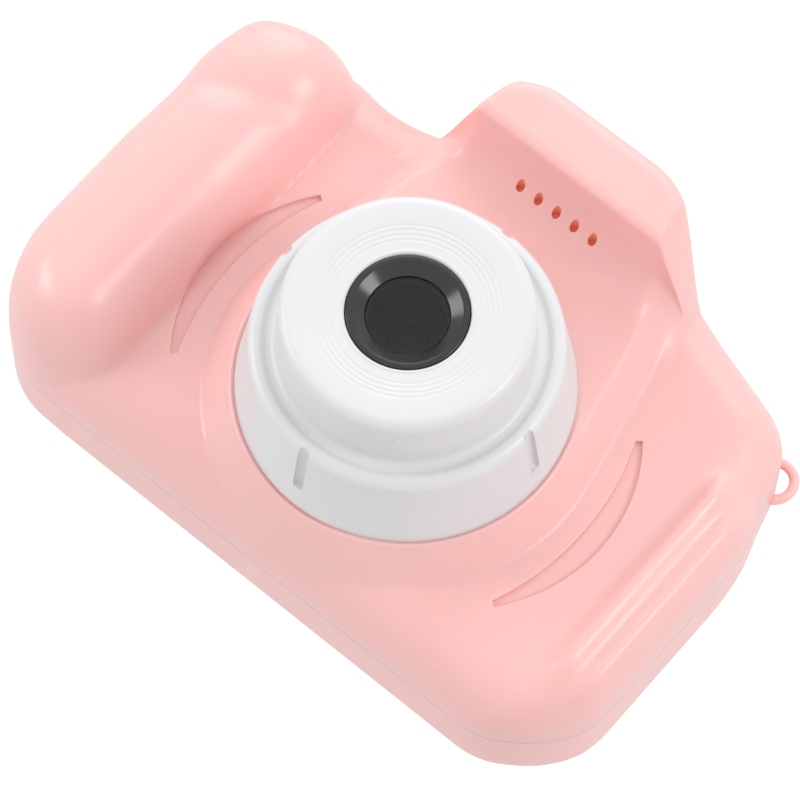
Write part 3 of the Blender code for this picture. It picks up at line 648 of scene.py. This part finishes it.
def frontHeight(points, gripped=True):
    shape = frontShape
    x = points[:, 0]
    z = points[:, 1]
    side = np.abs(x)
    distance = edgeDistance(points)
    outside = bossDistance(points)
    upBrow = ease((z - 18.5) / 8.6)
    past = outside + shape["browInset"] * upBrow
    soft = 1 - softRamp(past / shape["bossFoot"], 0.1)
    reachOut = np.clip(past / 5.0, 0, 1)
    steep = 1 - ((reachOut + 0.05) ** 0.8 - 0.05**0.8) / (1.05**0.8 - 0.05**0.8)
    tower = browRise(z) * (soft * (1 - upBrow) + steep * upBrow)
    window = ease((z + 17) / 5) * ease((17 - z) / 5)
    ridges = sum(np.exp(-(((x - place) / shape["ridgeWidth"]) ** 2)) for place in shape["ridges"])
    face = shape["plate"] + tower + shape["ridgeRise"] * ridges * window
    inner, outer, high = shape["seatRing"]
    reach = np.hypot(x, z)
    ring = ease((reach - inner) / 0.12) * (1 - ease((reach - outer) / 0.25))
    face += high * ring * (1 - ease((z - 4) / 10))
    onBrow = ease((z - 24.5) / 3) * ease((17.0 - side) / 4)
    onRight = ease((x - 27) / 6) * (1 - ease((z - 10) / 8))
    width = 6.0 - 4.0 * onBrow - 1.5 * onRight
    drop = 7.0 - 4.8 * onBrow - 1.2 * onRight
    body = face - roundOver(distance, width, drop)
    outerSide = np.clip(1 - distance / shape["gripOuter"], 0, 1)
    innerSide = np.clip((x - shape["gripCrest"]) / shape["gripInner"], 0, 1)
    spread = np.clip(outerSide**3 + innerSide**2, 0, 1)
    grip = shape["gripHeight"] * (1 - spread) ** 0.42
    dentAt, dentWide, dentDeep = shape["dent"]
    along = (z - dentAt - 0.35 * (x + 35)) / dentWide
    grip -= dentDeep * np.exp(-(along**2)) * ease((x + 43) / 5) * ease((-28 - x) / 4)
    return smoothMax(body, grip, 1.6) if gripped else body


def frontInside(points):
    # Under the crescent recess the inner skin stays below the plate
    whole = frontHeight(points)
    plain = frontHeight(points, False)
    beside = ease((points[:, 0] + 33.0) / 2.0)
    held = whole + (np.minimum(whole, plain) - whole) * beside
    # and behind the sound holes it stays clear of their floors
    return np.where(points[:, 1] > 15, np.minimum(held, frontShape["behindHoles"]), held)


def rearHeight(points):
    return rearFace - partingPlane - roundOver(edgeDistance(points), 4.5, 4.5)


def inset(points, amount):
    run = np.roll(points, -1, axis=0) - np.roll(points, 1, axis=0)
    inward = np.stack([run[:, 1], -run[:, 0]], axis=1)
    return points + amount * inward / np.linalg.norm(run, axis=1)[:, None]


def towards(points, radius):
    return points * (radius / np.linalg.norm(points, axis=1))[:, None]


def featureLine(points, grown, height):
    # The ring that follows the boss's edge and the underside of the brow
    length = np.linalg.norm(points, axis=1)
    level = height / np.maximum(points[:, 1] / length, 0.05)
    reach = np.minimum(bossRadius(points, grown), level)
    return towards(points, np.minimum(reach, length - 0.5))


def skin(stops, shares, height, forward, drop=0.0):
    # Rings from a skirt at the parting plane, over the edge and in to the last stop
    seam = caseShape["seam"]
    flat = [stops[0]]
    for (start, end), steps in zip(zip(stops, stops[1:]), shares):
        flat += [start + (end - start) * share for share in steps]
    points = np.concatenate(flat)
    high = np.maximum(height(points) - drop, 0.6)
    high[: len(stops[0])] = 0
    depth = partingPlane + forward * (seam + high)
    rings = np.column_stack([points[:, 0], depth, points[:, 1] + lensHeight])
    return rings.reshape(len(flat), len(stops[0]), 3)


def closedSkin(outer, inner):
    # Both skins as one tube of rings, with the first ring again at the end
    return np.concatenate([outer, inner[::-1], outer[:1]])


def softenBrow(built):
    # Rounds the brow's edges
    near = []
    every = {"use_axis_x": True, "use_axis_y": True, "use_axis_z": True}
    for vert in built.verts:
        x, y, z = vert.co / mm
        z -= lensHeight
        if z > 21 and abs(x) < 21 and y < -11.2 and math.hypot(x, z) > 19.8:
            near.append(vert)
    for _ in range(20):
        bmesh.ops.smooth_vert(built, verts=near, factor=0.5, **every)


def frontCover():
    shape = frontShape
    opening = np.full(len(outline), shape["opening"])
    wave = np.linspace(0, 1, 96)
    stops = [
        outline,
        featureLine(outline, shape["bossFoot"] + 0.2, shape["browWall"] + 0.001),
        featureLine(outline, 0, 24.0),
        towards(outline, opening),
    ]
    shares = [
        wave - 0.13 * np.sin(math.tau * wave),
        np.linspace(0, 1, 30)[1:] ** 2,
        np.linspace(0, 1, 24)[1:] ** 1.7,
    ]
    outer = skin(stops, shares, frontHeight, -1)
    start = inset(outline, caseShape["wall"])
    across = [0, 0.04, 0.08, 0.13, 0.2, 0.25, 0.3, 0.35, 0.4, 0.5, 0.6, 0.8, 1]
    inner = skin([start, towards(start, opening)], [across], frontInside, -1, 2.4)
    built = sheetOfRings(closedSkin(outer, inner))
    softenBrow(built)
    return addPiece("frontShell", built, ["pinkShell", "paintedHoleShade"], "front_cover")


crescent = {
    "outerMiddle": 27.65,
    "innerMiddle": 24.9,
    "tip": (22.8, 12.5),
    "blunt": 0.45,
    "floor": 0.42,           # below the plate
}


def crescentOutline(side):
    # Two arcs that meet in blunt tips
    tipX, tipZ = crescent["tip"]
    outlineHere = []
    for middle, shift, order in (
        (crescent["outerMiddle"], crescent["blunt"], 1),
        (crescent["innerMiddle"], -crescent["blunt"], -1),
    ):
        endX = tipX + shift * 0.7
        endZ = tipZ + shift * 0.5
        sag = middle - endX
        radius = (endZ**2 + sag**2) / (2 * sag)
        swing = math.degrees(math.asin(endZ / radius))
        outlineHere += arc((middle - radius, 0), radius, -swing * order, swing * order, 40)
    return [(side * x, z + lensHeight) for x, z in outlineHere]


def frontDetails(cover):
    low = partingPlane - frontShape["plate"] + crescent["floor"]
    tools = [slab(crescentOutline(side), low, low - 12) for side in (1, -1)]
    carve(cover, tools)
    holes = []
    hole = [(0, 5), (0.52, 5), (0.52, -0.7), (0.4, -0.9), (0, -0.9)]
    for count in range(5):
        place = Vector(((count - 2) * 2.55, bossFace - 1.7, lensHeight + 25.7))
        holes.append(spun(hole, place, (0, -1, 0), 32))
    # the hole walls take slot 1, a deeper red that paints the shade inside the holes
    carve(cover, holes, paint=1)


front = frontCover()
frontDetails(front)
print("front shell:", len(front.data.polygons), "faces")


rearShape = {
    "screen": (-12.8, 29.2, 9.0, 41.0),
    "keyCentre": (-27.0, 25.0),
    "keyPitch": 8.4,
    "keyRadius": 2.7,
    "okRadius": 3.8,
    "usbY": (1.5, 4.1),
    "usbZ": (12.9, 20.4),
    "cardY": (-1.55, -0.85),
    "cardZ": (23.0, 34.0),
    "screws": [(-31.0, 4.9), (33.6, 8.9), (33.6, 36.3), (-21.5, 44.9)],
    "eyelet": (34.5, 1.0, 46.0),
}


def keyPlaces():
    x, z = rearShape["keyCentre"]
    pitch = rearShape["keyPitch"]
    small = rearShape["keyRadius"]
    return {
        "ok": (x, z, rearShape["okRadius"]),
        "up": (x, z + pitch, small),
        "down": (x, z - pitch, small),
        "left": (x + pitch, z, small),
        "right": (x - pitch, z, small),
    }


def topOfCase(x):
    # Height and slope of the top outline at x
    top = fineOutline[fineOutline[:, 1] > 10]
    top = top[np.argsort(top[:, 0])]
    here, ahead, behind = (float(np.interp(x + step, top[:, 0], top[:, 1])) for step in (0, 1, -1))
    return here + lensHeight, (ahead - behind) / 2


def powerAxis():
    height, slope = topOfCase(24.0)
    outward = Vector((-slope, 0, 1)).normalized()
    return Vector((24.0, 0.35, height)), outward


def flared(radius, base, aim, deep, flare=0.3):
    # A round cutter whose mouth opens out at the surface, with height 0 on the surface
    profile = [(0, 2), (radius + flare + 2, 2), (radius + flare, 0)]
    profile += arc((radius + flare, -flare), flare, 90, 180, 5)[1:]
    profile += [(radius, -deep), (0, -deep)]
    return spun(profile, base, aim, 64)


def oblongBlock(centre, size, low, high, rounding=0.0):
    # An upright block with round ends
    built = bmesh.new()
    bmesh.ops.create_cube(built, size=1.0)
    bmesh.ops.scale(built, vec=(size[0] * mm, size[1] * mm, (high - low) * mm), verts=built.verts)
    rounded(built, edgesAlong(built, 2, 0.5 * mm), size[1] * 0.48, 16)
    if rounding:
        rim = [edge for edge in built.edges if min(vert.co.z for vert in edge.verts) > 0]
        rounded(built, rim, rounding, 5)
    bmesh.ops.translate(
        built, vec=Vector((centre[0], centre[1], (low + high) / 2)) * mm, verts=built.verts
    )
    return built


def rearCover():
    start = inset(outline, caseShape["wall"])
    middle = np.zeros_like(outline)
    wave = np.linspace(0, 1, 26) ** 1.6 * 0.2
    outer = skin([outline, middle], [[*wave, 0.5, 1.0]], rearHeight, 1)
    inner = skin([start, middle], [[0, 0.04, 0.1, 0.2, 0.5, 1.0]], rearHeight, 1, caseShape["wall"])
    flatDepth = rearFace - caseShape["wall"]
    outer[:, :, 1] = np.minimum(outer[:, :, 1], rearFace)
    inner[:, :, 1] = np.minimum(inner[:, :, 1], flatDepth)
    rings = np.concatenate([outer[::-1], inner])
    return addPiece("rearShell", sheetOfRings(rings), ["pinkShell"], "rear_cover")


def rearDetails(cover):
    lowX, highX, lowZ, highZ = rearShape["screen"]
    screwed = rearShape["screws"]
    post = [(0, 7), (3.4, 7), (3.4, -2.9), (0, -2.9)]
    carve(cover, [spun(post, (x, 0, z), (0, 1, 0), 48) for x, z in screwed], "UNION")
    x, y, z = rearShape["eyelet"]
    ring = spun(arc((2.3, 0), 0.6, 0, 330, 12), (x, y, z), (0, 1, 0), 48)
    carve(cover, [ring], "UNION")
    edge = caseShape["left"]
    lowY, highY = rearShape["cardY"]
    bottom, top = rearShape["cardZ"]
    gap = 0.15
    seat = roundedRectangle(lowX - gap, highX + gap, lowZ - gap, highZ + gap, 1.4)
    openings = [
        slab(seat, 7.0, 10.0),
        block((edge - 2, lowY - 0.3, bottom - 0.4), (edge + 4, highY + 0.3, top + 0.4)),
        usbMouth(),
        oblongBlock((-33.0, 0.35), (9.0, 5.4), 45.0, 56.0),
        flared(2.7, *powerAxis(), 4.0, 0.25),
    ]
    for x, z, radius in keyPlaces().values():
        openings.append(flared(radius + 0.22, (x, rearFace, z), (0, 1, 0), 4.0))
    openings += [flared(2.35, (x, rearFace, z), (0, 1, 0), 2.1) for x, z in screwed]
    carve(cover, openings)
    sight = roundedRectangle(lowX + 1.6, highX - 1.6, lowZ + 1.6, highZ - 1.6, 1.0)
    bore = [(0, 7), (1.25, 7), (1.25, -6), (0, -6)]
    bores = [spun(bore, (x, 0, z), (0, 1, 0), 32) for x, z in screwed]
    carve(cover, [slab(sight, 4.9, 7.5)] + bores)


def usbMouth():
    # Rounded slot through the side wall
    lowY, highY = rearShape["usbY"]
    lowZ, highZ = rearShape["usbZ"]
    halfY = 0.4 + (highY - lowY) / 2
    halfZ = 0.4 + (highZ - lowZ) / 2
    built = block((0, -halfY, -halfZ), (6, halfY, halfZ))
    rounded(built, edgesAlong(built, 0, mm), 1.2, 6)
    place = Vector((caseShape["left"] - 2, (lowY + highY) / 2, (lowZ + highZ) / 2))
    bmesh.ops.translate(built, vec=place * mm, verts=built.verts)
    return built


rear = rearCover()
rearDetails(rear)
print("rear shell:", len(rear.data.polygons), "faces")


lensShape = {
    "collarRadius": 18.7,
    "collarTop": 17.15,
    "collarHeight": 11.1,
    "barrelRadius": 14.2,
    "barrelHeight": 18.9,
    "bezelRadius": 6.64,
    "windowRadius": 4.55,
    "grooves": (8.35, 8.9, 9.45, 10.0),
    "notchWidth": 1.35,
    "notchLength": 8.4,
    "notchDepth": 0.75,
}


def lensTurned(profile, steps):
    return spun(profile, (0, bossFace, lensHeight), (0, -1, 0), steps)


def collar():
    shape = lensShape
    top = shape["collarHeight"]
    rim = shape["collarTop"]
    foot = shape["barrelRadius"] - 0.1
    profile = [(13.9, top + 0.5)] + arc((foot + 0.75, top + 0.45), 0.8, 180, 268, 9)
    radii = np.linspace(foot + 0.9, rim - 1.3, 12)
    rises = top - 0.35 + 0.35 * ease(np.linspace(0, 1, 12))
    profile += list(zip(radii, rises))
    profile += arc((rim - 1.25, top - 1.25), 1.25, 88, 8, 14)
    wide = shape["collarRadius"]
    profile += [(wide - 0.08, 0.25), (wide, 0.1), (wide, 0.02)]
    profile += [(11.7, 0.02), (11.7, -4.0), (10.2, -4.0), (10.2, 1.6), (13.9, 1.6)]
    turned = lensTurned(profile, 192)
    ring = addPiece("lensCollar", turned, ["whiteRing"], "lens_collar")
    notches = []
    for count in range(4):
        turn = count * math.pi / 2
        outward = Vector((math.cos(turn), 0, math.sin(turn)))
        along = Vector((0, 1, 0))
        across = outward.cross(along)
        half = shape["notchWidth"] / 2
        reach = shape["notchLength"] / 2
        tool = block((-2.2, -reach, -half), (2.2, reach, half), 0.35, 4)
        lean = Matrix.Rotation(-math.atan2(1.5, 11.1), 4, "Z")
        place = Vector((0, bossFace - top + reach - 0.9, lensHeight))
        place += outward * (rim + 0.5 - shape["notchDepth"] + 2.2)
        frameHere = Matrix((outward, along, across)).transposed().to_4x4()
        there = Matrix.Translation(place * mm) @ frameHere @ lean
        bmesh.ops.transform(tool, matrix=there, verts=tool.verts)
        notches.append(tool)
    carve(ring, notches)
    return ring


def barrel():
    shape = lensShape
    front = shape["barrelHeight"]
    outerEdge = shape["barrelRadius"] - 0.45
    profile = [(6.72, front - 2.6), (6.72, front - 0.62)]
    profile += arc((7.1, front - 0.62), 0.38, 180, 100, 5)
    radii = np.linspace(7.2, outerEdge - 1.4, 110)
    dish = -0.34 * (1 - ease((radii - 7.0) / 5.2))
    cuts = sum(np.exp(-(((radii - place) / 0.13) ** 2)) for place in shape["grooves"])
    profile += [(radius, front + low - 0.05 * cut) for radius, low, cut in zip(radii, dish, cuts)]
    profile += arc((outerEdge - 1.3, front - 1.3), 1.3, 86, 4, 18)
    foot = shape["barrelRadius"] - 0.1
    profile += [(foot, 9.6), (foot, 1.9), (12.6, 1.9), (12.2, front - 2.6)]
    addPiece("lensBarrel", lensTurned(profile, 192), ["whiteRing"], "lens_barrel")


def bezel():
    shape = lensShape
    front = shape["barrelHeight"]
    wide = shape["bezelRadius"]
    sight = shape["windowRadius"]
    profile = arc((wide - 0.2, front - 0.55), 0.18, 0, 90, 5)[::-1]
    profile = [(5.92, front - 0.42)] + arc((5.98, front - 0.45), 0.08, 160, 90, 3) + profile
    profile += [(wide, front - 2.4), (wide - 0.5, front - 7.5), (sight + 0.3, front - 7.5)]
    profile += [(sight + 0.3, front - 2.6), (sight - 0.4, front - 2.6), (sight - 0.4, front - 2.3)]
    lip = sight + 0.1
    profile += [(lip, front - 2.3), (lip, front - 1.45), (lip - 0.05, front - 1.35)]
    addPiece("lensBezel", lensTurned(profile, 160), ["blackGloss"], "lens_bezel")


def lensInside():
    front = lensShape["barrelHeight"]
    sight = lensShape["windowRadius"]
    pane = [(0, front - 1.5), (sight - 0.1, front - 1.5), (sight, front - 1.6)]
    pane += [(sight, front - 2.1), (0, front - 2.1)]
    addPiece("lensPane", lensTurned(pane, 96), ["smokedPane"], "lens_window")
    holder = [(2.4, front - 7.0)] + arc((4.0, front - 7.2), 0.2, 90, 0, 4)
    for turn in range(5):
        level = front - 8.0 - turn * 0.8
        holder += [(4.2, level), (4.08, level - 0.12), (4.2, level - 0.24)]
    holder += [(4.2, 2.6), (5.6, 2.6), (5.6, -1.1), (4.6, -1.1), (4.6, 1.4), (3.1, 1.4)]
    holder += [(3.1, front - 9.0), (2.4, front - 8.6)]
    addPiece("lensHolder", lensTurned(holder, 96), ["blackMatt"], "lens_holder")
    dome = [(radius, 9.6 - radius**2 * 0.09) for radius in np.linspace(0, 2.7, 14)]
    element = dome + [(2.8, 8.6), (2.8, 6.6), (0, 6.6)]
    addPiece("lensElement", lensTurned(element, 64), ["coatedLens"], "lens_element")


collar()
barrel()
bezel()
lensInside()
print("lens ring made")


keyShape = {
    "proud": 0.9,
    "mark": 1.15,            # half the size of the raised arrow
    "markRise": 0.16,
}


def keyProfile(radius, top):
    # Gently domed cap with a soft rim and a flange that holds it in
    shoulder = 0.55
    wide = radius - shoulder
    dome = [(share * wide, top + 0.1 * (1 - share**2)) for share in np.linspace(0, 1, 8)]
    rim = arc((radius - shoulder, top - shoulder), shoulder, 84, 0, 8)
    flange = [(radius, -0.3), (radius + 0.8, -0.3), (radius + 0.8, -1.2), (1.2, -1.2)]
    return dome + rim + flange + [(1.2, -1.6), (0, -1.6)]


def arrowMark(x, z, turn, size):
    # A flat triangle with rounded corners
    corners = []
    for step in range(3):
        angle = turn + step * 120
        middle = (
            x + size * 0.72 * math.cos(math.radians(angle)),
            z + size * 0.72 * math.sin(math.radians(angle)),
        )
        corners += arc(middle, size * 0.28, angle - 60, angle + 60, 6)
    return corners


def keys():
    inner = rearFace - 1.8
    turns = {"up": 90, "down": -90, "left": 0, "right": 180}
    for name, (x, z, radius) in keyPlaces().items():
        top = 1.8 + keyShape["proud"]
        built = spun(keyProfile(radius, top), (x, inner, z), (0, 1, 0), 96)
        surfaces = ["whiteRing", "keyInk"]
        body = name + "_key"
        cap = addPiece("key." + name, built, surfaces, "key_" + name, body)
        level = inner + top
        if name == "ok":
            ring = [(1.3, 2), (1.75, 2), (1.75, -0.14), (1.3, -0.14)]
            mark = spun(ring, (x, level, z), (0, 1, 0), 64)
        else:
            mark = slab(arrowMark(x, z, turns[name], keyShape["mark"]), level - 0.14, level + 2)
        carve(cap, [mark], paint=1)


def shutter():
    top, _ = topOfCase(-33.0)
    inner = top - 1.8
    built = oblongBlock((-33.0, 0.35), (8.6, 5.0), inner - 2.1, top + 1.0, 0.55)
    button = addPiece(
        "shutterButton", built, ["pinkShell"], "shutter_button", "shutter"
    )
    flange = block((-37.9, -1.95, inner - 2.9), (-28.1, 2.65, inner - 2.0), 0.1, 2)
    carve(button, [flange], "UNION")
    # a shallow dish for the fingertip
    bowl = [(3.4 * share, -0.28 * (1 - share**2)) for share in np.linspace(0, 1, 10)]
    dish = spun([(0, 1.5), (3.9, 1.5)] + bowl[::-1], (0, 0, top + 1.0), (0, 0, 1), 74)
    bmesh.ops.scale(dish, vec=(1.0, 0.55, 1.0), verts=dish.verts)
    bmesh.ops.translate(dish, vec=(-33.0 * mm, 0.35 * mm, 0), verts=dish.verts)
    carve(button, [dish])


def power():
    place, outward = powerAxis()
    top = 1.8 + 1.0
    radius = 2.5
    rim = arc((radius - 0.5, top - 0.5), 0.5, 84, 0, 8)
    wide = radius - 0.5
    face = [(share * wide, top - 0.12 * (1 - share**2)) for share in np.linspace(0, 1, 10)]
    profile = face + rim + [(radius, -0.9), (radius + 0.6, -0.9), (radius + 0.6, -1.8), (0, -1.8)]
    base = place - outward * 1.8
    built = spun(profile, base, outward, 96)
    surfaces = ["pinkShell", "whiteRing"]
    button = addPiece("powerButton", built, surfaces, "power_button", "power")
    ring = [(0.95, 2), (1.25, 2), (1.25, -0.25), (0.95, -0.25)]
    carve(button, [spun(ring, base + outward * top, outward, 64)], paint=1)


keys()
shutter()
power()
print("keys and buttons made")


screwShape = {
    "headRadius": 2.0,
    "headHeight": 1.2,
    "slot": (2.3, 0.55, 1.5),    # twice as tall as it cuts
}


def crossCut(place):
    # Two crossed wedges that narrow with depth
    tools = []
    for turn in (0, math.pi / 2):
        tool = bmesh.new()
        bmesh.ops.create_cube(tool, size=1.0)
        bmesh.ops.scale(tool, vec=Vector(screwShape["slot"]) * mm, verts=tool.verts)
        lower = [vert for vert in tool.verts if vert.co.z < 0]
        bmesh.ops.scale(tool, vec=(0.45, 0.6, 1.0), verts=lower)
        spin = aimed((0, 1, 0)) @ Matrix.Rotation(turn + 0.4, 4, "Z")
        there = Matrix.Translation(Vector(place) * mm) @ spin
        bmesh.ops.transform(tool, matrix=there, verts=tool.verts)
        tools.append(tool)
    return tools


def screws():
    head = screwShape["headRadius"]
    rise = screwShape["headHeight"]
    for count, (x, z) in enumerate(rearShape["screws"]):
        name = f"case_screw_{count + 1}"
        lowest = min(part.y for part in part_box(name)) / mm - 6.2
        profile = [(share * head * 0.62, rise - 0.1 * share**2) for share in np.linspace(0, 1, 6)]
        profile += arc((head - 0.55, rise - 0.75), 0.55, 80, 0, 7)
        profile += [(head - 0.02, 0.05), (head - 0.1, 0), (0.85, 0)]
        for level in np.arange(-0.6, lowest + 1.2, -0.5):
            profile += [(0.72, level), (0.9, level - 0.25)]
        profile += [(0.7, lowest + 0.6), (0.3, lowest), (0, lowest)]
        turned = spun(profile, (x, 6.2, z), (0, 1, 0), 48)
        made = addPiece(f"caseScrew.{count + 1}", turned, ["platedSteel"], name)
        for tool in crossCut((x, 6.2 + rise, z)):
            carve(made, [tool])


def screen():
    lowX, highX, lowZ, highZ = rearShape["screen"]
    shape = roundedRectangle(lowX, highX, lowZ, highZ, 1.3)
    pane = slab(shape, rearFace - 0.7, rearFace - 0.05, 0.12)
    addPiece("screenPane", pane, ["smokedPane"], "screen_window")
    border = slab(shape, rearFace - 0.9, rearFace - 0.74)
    mask = addPiece("screenBorder", border, ["blackGloss"])
    sight = roundedRectangle(lowX + 3.2, highX - 3.2, lowZ + 3.2, highZ - 3.2, 0.8)
    carve(mask, [slab(sight, rearFace - 2, rearFace + 1)])


def usbSocket():
    # Thin drawn shell with round corners, and a tongue with contacts
    low, high = (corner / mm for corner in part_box("usb_socket"))
    built = block(low, high)
    rounded(built, edgesAlong(built, 0, mm), 1.1, 8)
    mouth = min(built.faces, key=lambda face: face.calc_center_median().x)
    bmesh.ops.inset_individual(built, faces=[mouth], thickness=0.28 * mm, use_even_offset=True)
    pushed = bmesh.ops.extrude_discrete_faces(built, faces=[mouth])["faces"][0]
    bmesh.ops.translate(built, vec=(4.6 * mm, 0, 0), verts=pushed.verts)
    addPiece("usbShell", built, ["platedSteel"], "usb_socket")
    middleY = (low.y + high.y) / 2
    start = (low.x + 0.9, middleY - 0.32, low.z + 1.9)
    tongue = block(start, (low.x + 4.65, middleY + 0.32, high.z - 1.9), 0.12, 2)
    addPiece("usbTongue", tongue, ["blackMatt"])
    for side in (-1, 1):
        for count in range(5):
            z = (low.z + high.z) / 2 + (count - 2) * 0.62
            edge = middleY + side * 0.34
            start = (low.x + 1.2, edge - 0.03, z - 0.16)
            finger = block(start, (low.x + 4.2, edge + 0.03, z + 0.16), 0.015, 1)
            number = count + 1 + (side > 0) * 5
            addPiece(f"usbContact.{number}", finger, ["goldContact"])


def memoryCard():
    # Standard card outline with a cut corner, an end ridge and gold contacts
    low, high = (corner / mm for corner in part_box("memory_card"))
    cut = 1.4
    outlineHere = [
        (low.x, low.z + 0.4), (low.x + 0.4, low.z),
        (high.x - 0.4, low.z), (high.x, low.z + 0.4),
        (high.x, high.z - cut - 1.0), (high.x - cut, high.z),
        (low.x + 0.4, high.z), (low.x, high.z - 0.4),
    ]
    built = slab(outlineHere, low.y, high.y - 0.02, 0.05)
    card = addPiece("memoryCard", built, ["blackMatt"], "memory_card", "card")
    grips = []
    for x in (low.x + 0.5, low.x + 1.0, low.x + 1.5):
        start = (x, high.y - 0.14, low.z + 1.5)
        grips.append(block(start, (x + 0.25, high.y + 1, high.z - 1.5)))
    carve(card, grips)
    for count in range(8):
        z = low.z + 1.7 + count * 1.08
        start = (high.x - 3.6, low.y - 0.01, z - 0.36)
        pad = block(start, (high.x - 0.9, low.y + 0.03, z + 0.36), 0.01, 1)
        addPiece(f"cardContact.{count + 1}", pad, ["goldContact"], body="card")


screws()
screen()
usbSocket()
memoryCard()
print("small parts made")


nodeLooks = {
    "battery": "pouchFoil",
    "battery_lead_black": "blackMatt",
    "battery_lead_red": "redSleeve",
    "speaker_lead_black": "blackMatt",
    "speaker_lead_red": "redSleeve",
    "card_socket": "platedSteel",
    "lcd_frame": "whiteRing",
    "lcd_panel": "displayGlass",
    "main_board": "solderMask",
    "power_board": "solderMask",
    "sensor_board": "solderMask",
    "shutter_board": "solderMask",
    "microphone": "platedSteel",
    "processor": "blackMatt",
    "sensor_chip": "blackGloss",
    "sensor_ribbon": "flatFilm",
    "speaker": "blackMatt",
}


def dressNodes():
    for name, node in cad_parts.items():
        look = nodeLooks.get(name)
        if name.startswith("board_screw"):
            look = "platedSteel"
        if name.endswith("_switch") or name.startswith("switch_"):
            look = "blackMatt"
        if look:
            for slot in node.material_slots:
                slot.material = looks[look]


dressNodes()
print("inner parts dressed")


studio = {
    "floor": (0.83, 0.825, 0.82),
    "surround": 0.85,
    "backdrop": 1.25,
    "lights": {
        "rightPanel": ((0.64, -0.57, 0.30), 0.34, 2.3),
        "leftPanel": ((-0.70, -0.40, -0.30), 0.34, 1.9),
        "topPanel": ((-0.45, -0.45, 0.76), 0.9, 3.7),
    },
    "lens": 221.8,
    "distance": 536.3,
    "aside": (-0.653, -1.882),
    "right": (0.76490, -0.00880, 0.64409),
    "up": (-0.59254, -0.40175, 0.69820),
    "back": (0.25262, -0.91571, -0.31252),
}


def floor():
    built = bmesh.new()
    bmesh.ops.create_grid(built, x_segments=1, y_segments=1, size=1.6)
    bmesh.ops.translate(built, vec=(0, 0, -0.02 * mm), verts=built.verts)
    plane = placed("studioFloor", meshOf(built, "studioFloor"))
    made, tree, shader, where = newMaterial("paleFloor")
    shade = addRange(tree, addNoise(tree, where, 700.0, 4.0), 0.2, 0.8, 0.97, 1.0)
    tinted = addBlend(tree, shade, (0.78, 0.775, 0.77, 1), (*studio["floor"], 1))
    feed(tree, shader, {"Base Color": tinted, "Roughness": 0.75})
    # seen from below, the sheet lets the view and the light through
    below = addNode(tree, "ShaderNodeNewGeometry", {}).outputs["Backfacing"]
    clear = addNode(tree, "ShaderNodeBsdfTransparent", {}).outputs[0]
    mixed = addNode(tree, "ShaderNodeMixShader", {0: below, 1: shader.outputs[0], 2: clear})
    feed(tree, tree.nodes["Material Output"], {"Surface": mixed.outputs[0]})
    plane.data.materials.append(made)
    plane.visible_shadow = False
    plane.visible_diffuse = False
    plane.visible_glossy = False


def surround():
    world = bpy.data.worlds.new("studioSurround")
    bpy.context.scene.world = world
    world.use_nodes = True
    tree = world.node_tree
    tree.nodes.clear()
    lit, seen = (
        addNode(tree, "ShaderNodeBackground", {"Color": (1, 1, 1, 1), "Strength": studio[name]})
        for name in ("surround", "backdrop")
    )
    path = addNode(tree, "ShaderNodeLightPath", {}).outputs["Is Camera Ray"]
    mixed = addNode(
        tree, "ShaderNodeMixShader", {0: path, 1: lit.outputs[0], 2: seen.outputs[0]}
    )
    addNode(tree, "ShaderNodeOutputWorld", {"Surface": mixed.outputs[0]})


def lights():
    target = Vector((0, -0.012, 0.025))
    for name, (place, size, energy) in studio["lights"].items():
        data = bpy.data.lights.new(name, "AREA")
        data.shape = "SQUARE"
        data.size = size
        data.energy = energy
        lamp = placed(name, data)
        lamp.location = place
        lamp.rotation_euler = (target - Vector(place)).to_track_quat("-Z", "Y").to_euler()


def camera():
    data = bpy.data.cameras.new("studioCamera")
    data.lens = studio["lens"]
    data.sensor_width = 36.0
    data.clip_start = 0.05
    data.clip_end = 20.0
    made = placed("studioCamera", data)
    right, up, back = (Vector(studio[name]) for name in ("right", "up", "back"))
    middle = Vector((0, bossFace, lensHeight))
    shiftRight, shiftUp = studio["aside"]
    spot = middle + right * shiftRight + up * shiftUp + back * studio["distance"]
    turn = Matrix((right, up, back)).transposed().to_4x4()
    made.matrix_world = Matrix.Translation(spot * mm) @ turn
    bpy.context.scene.camera = made


floor()
surround()
lights()
camera()
bpy.context.scene.view_settings.view_transform = "Standard"
print("studio made")
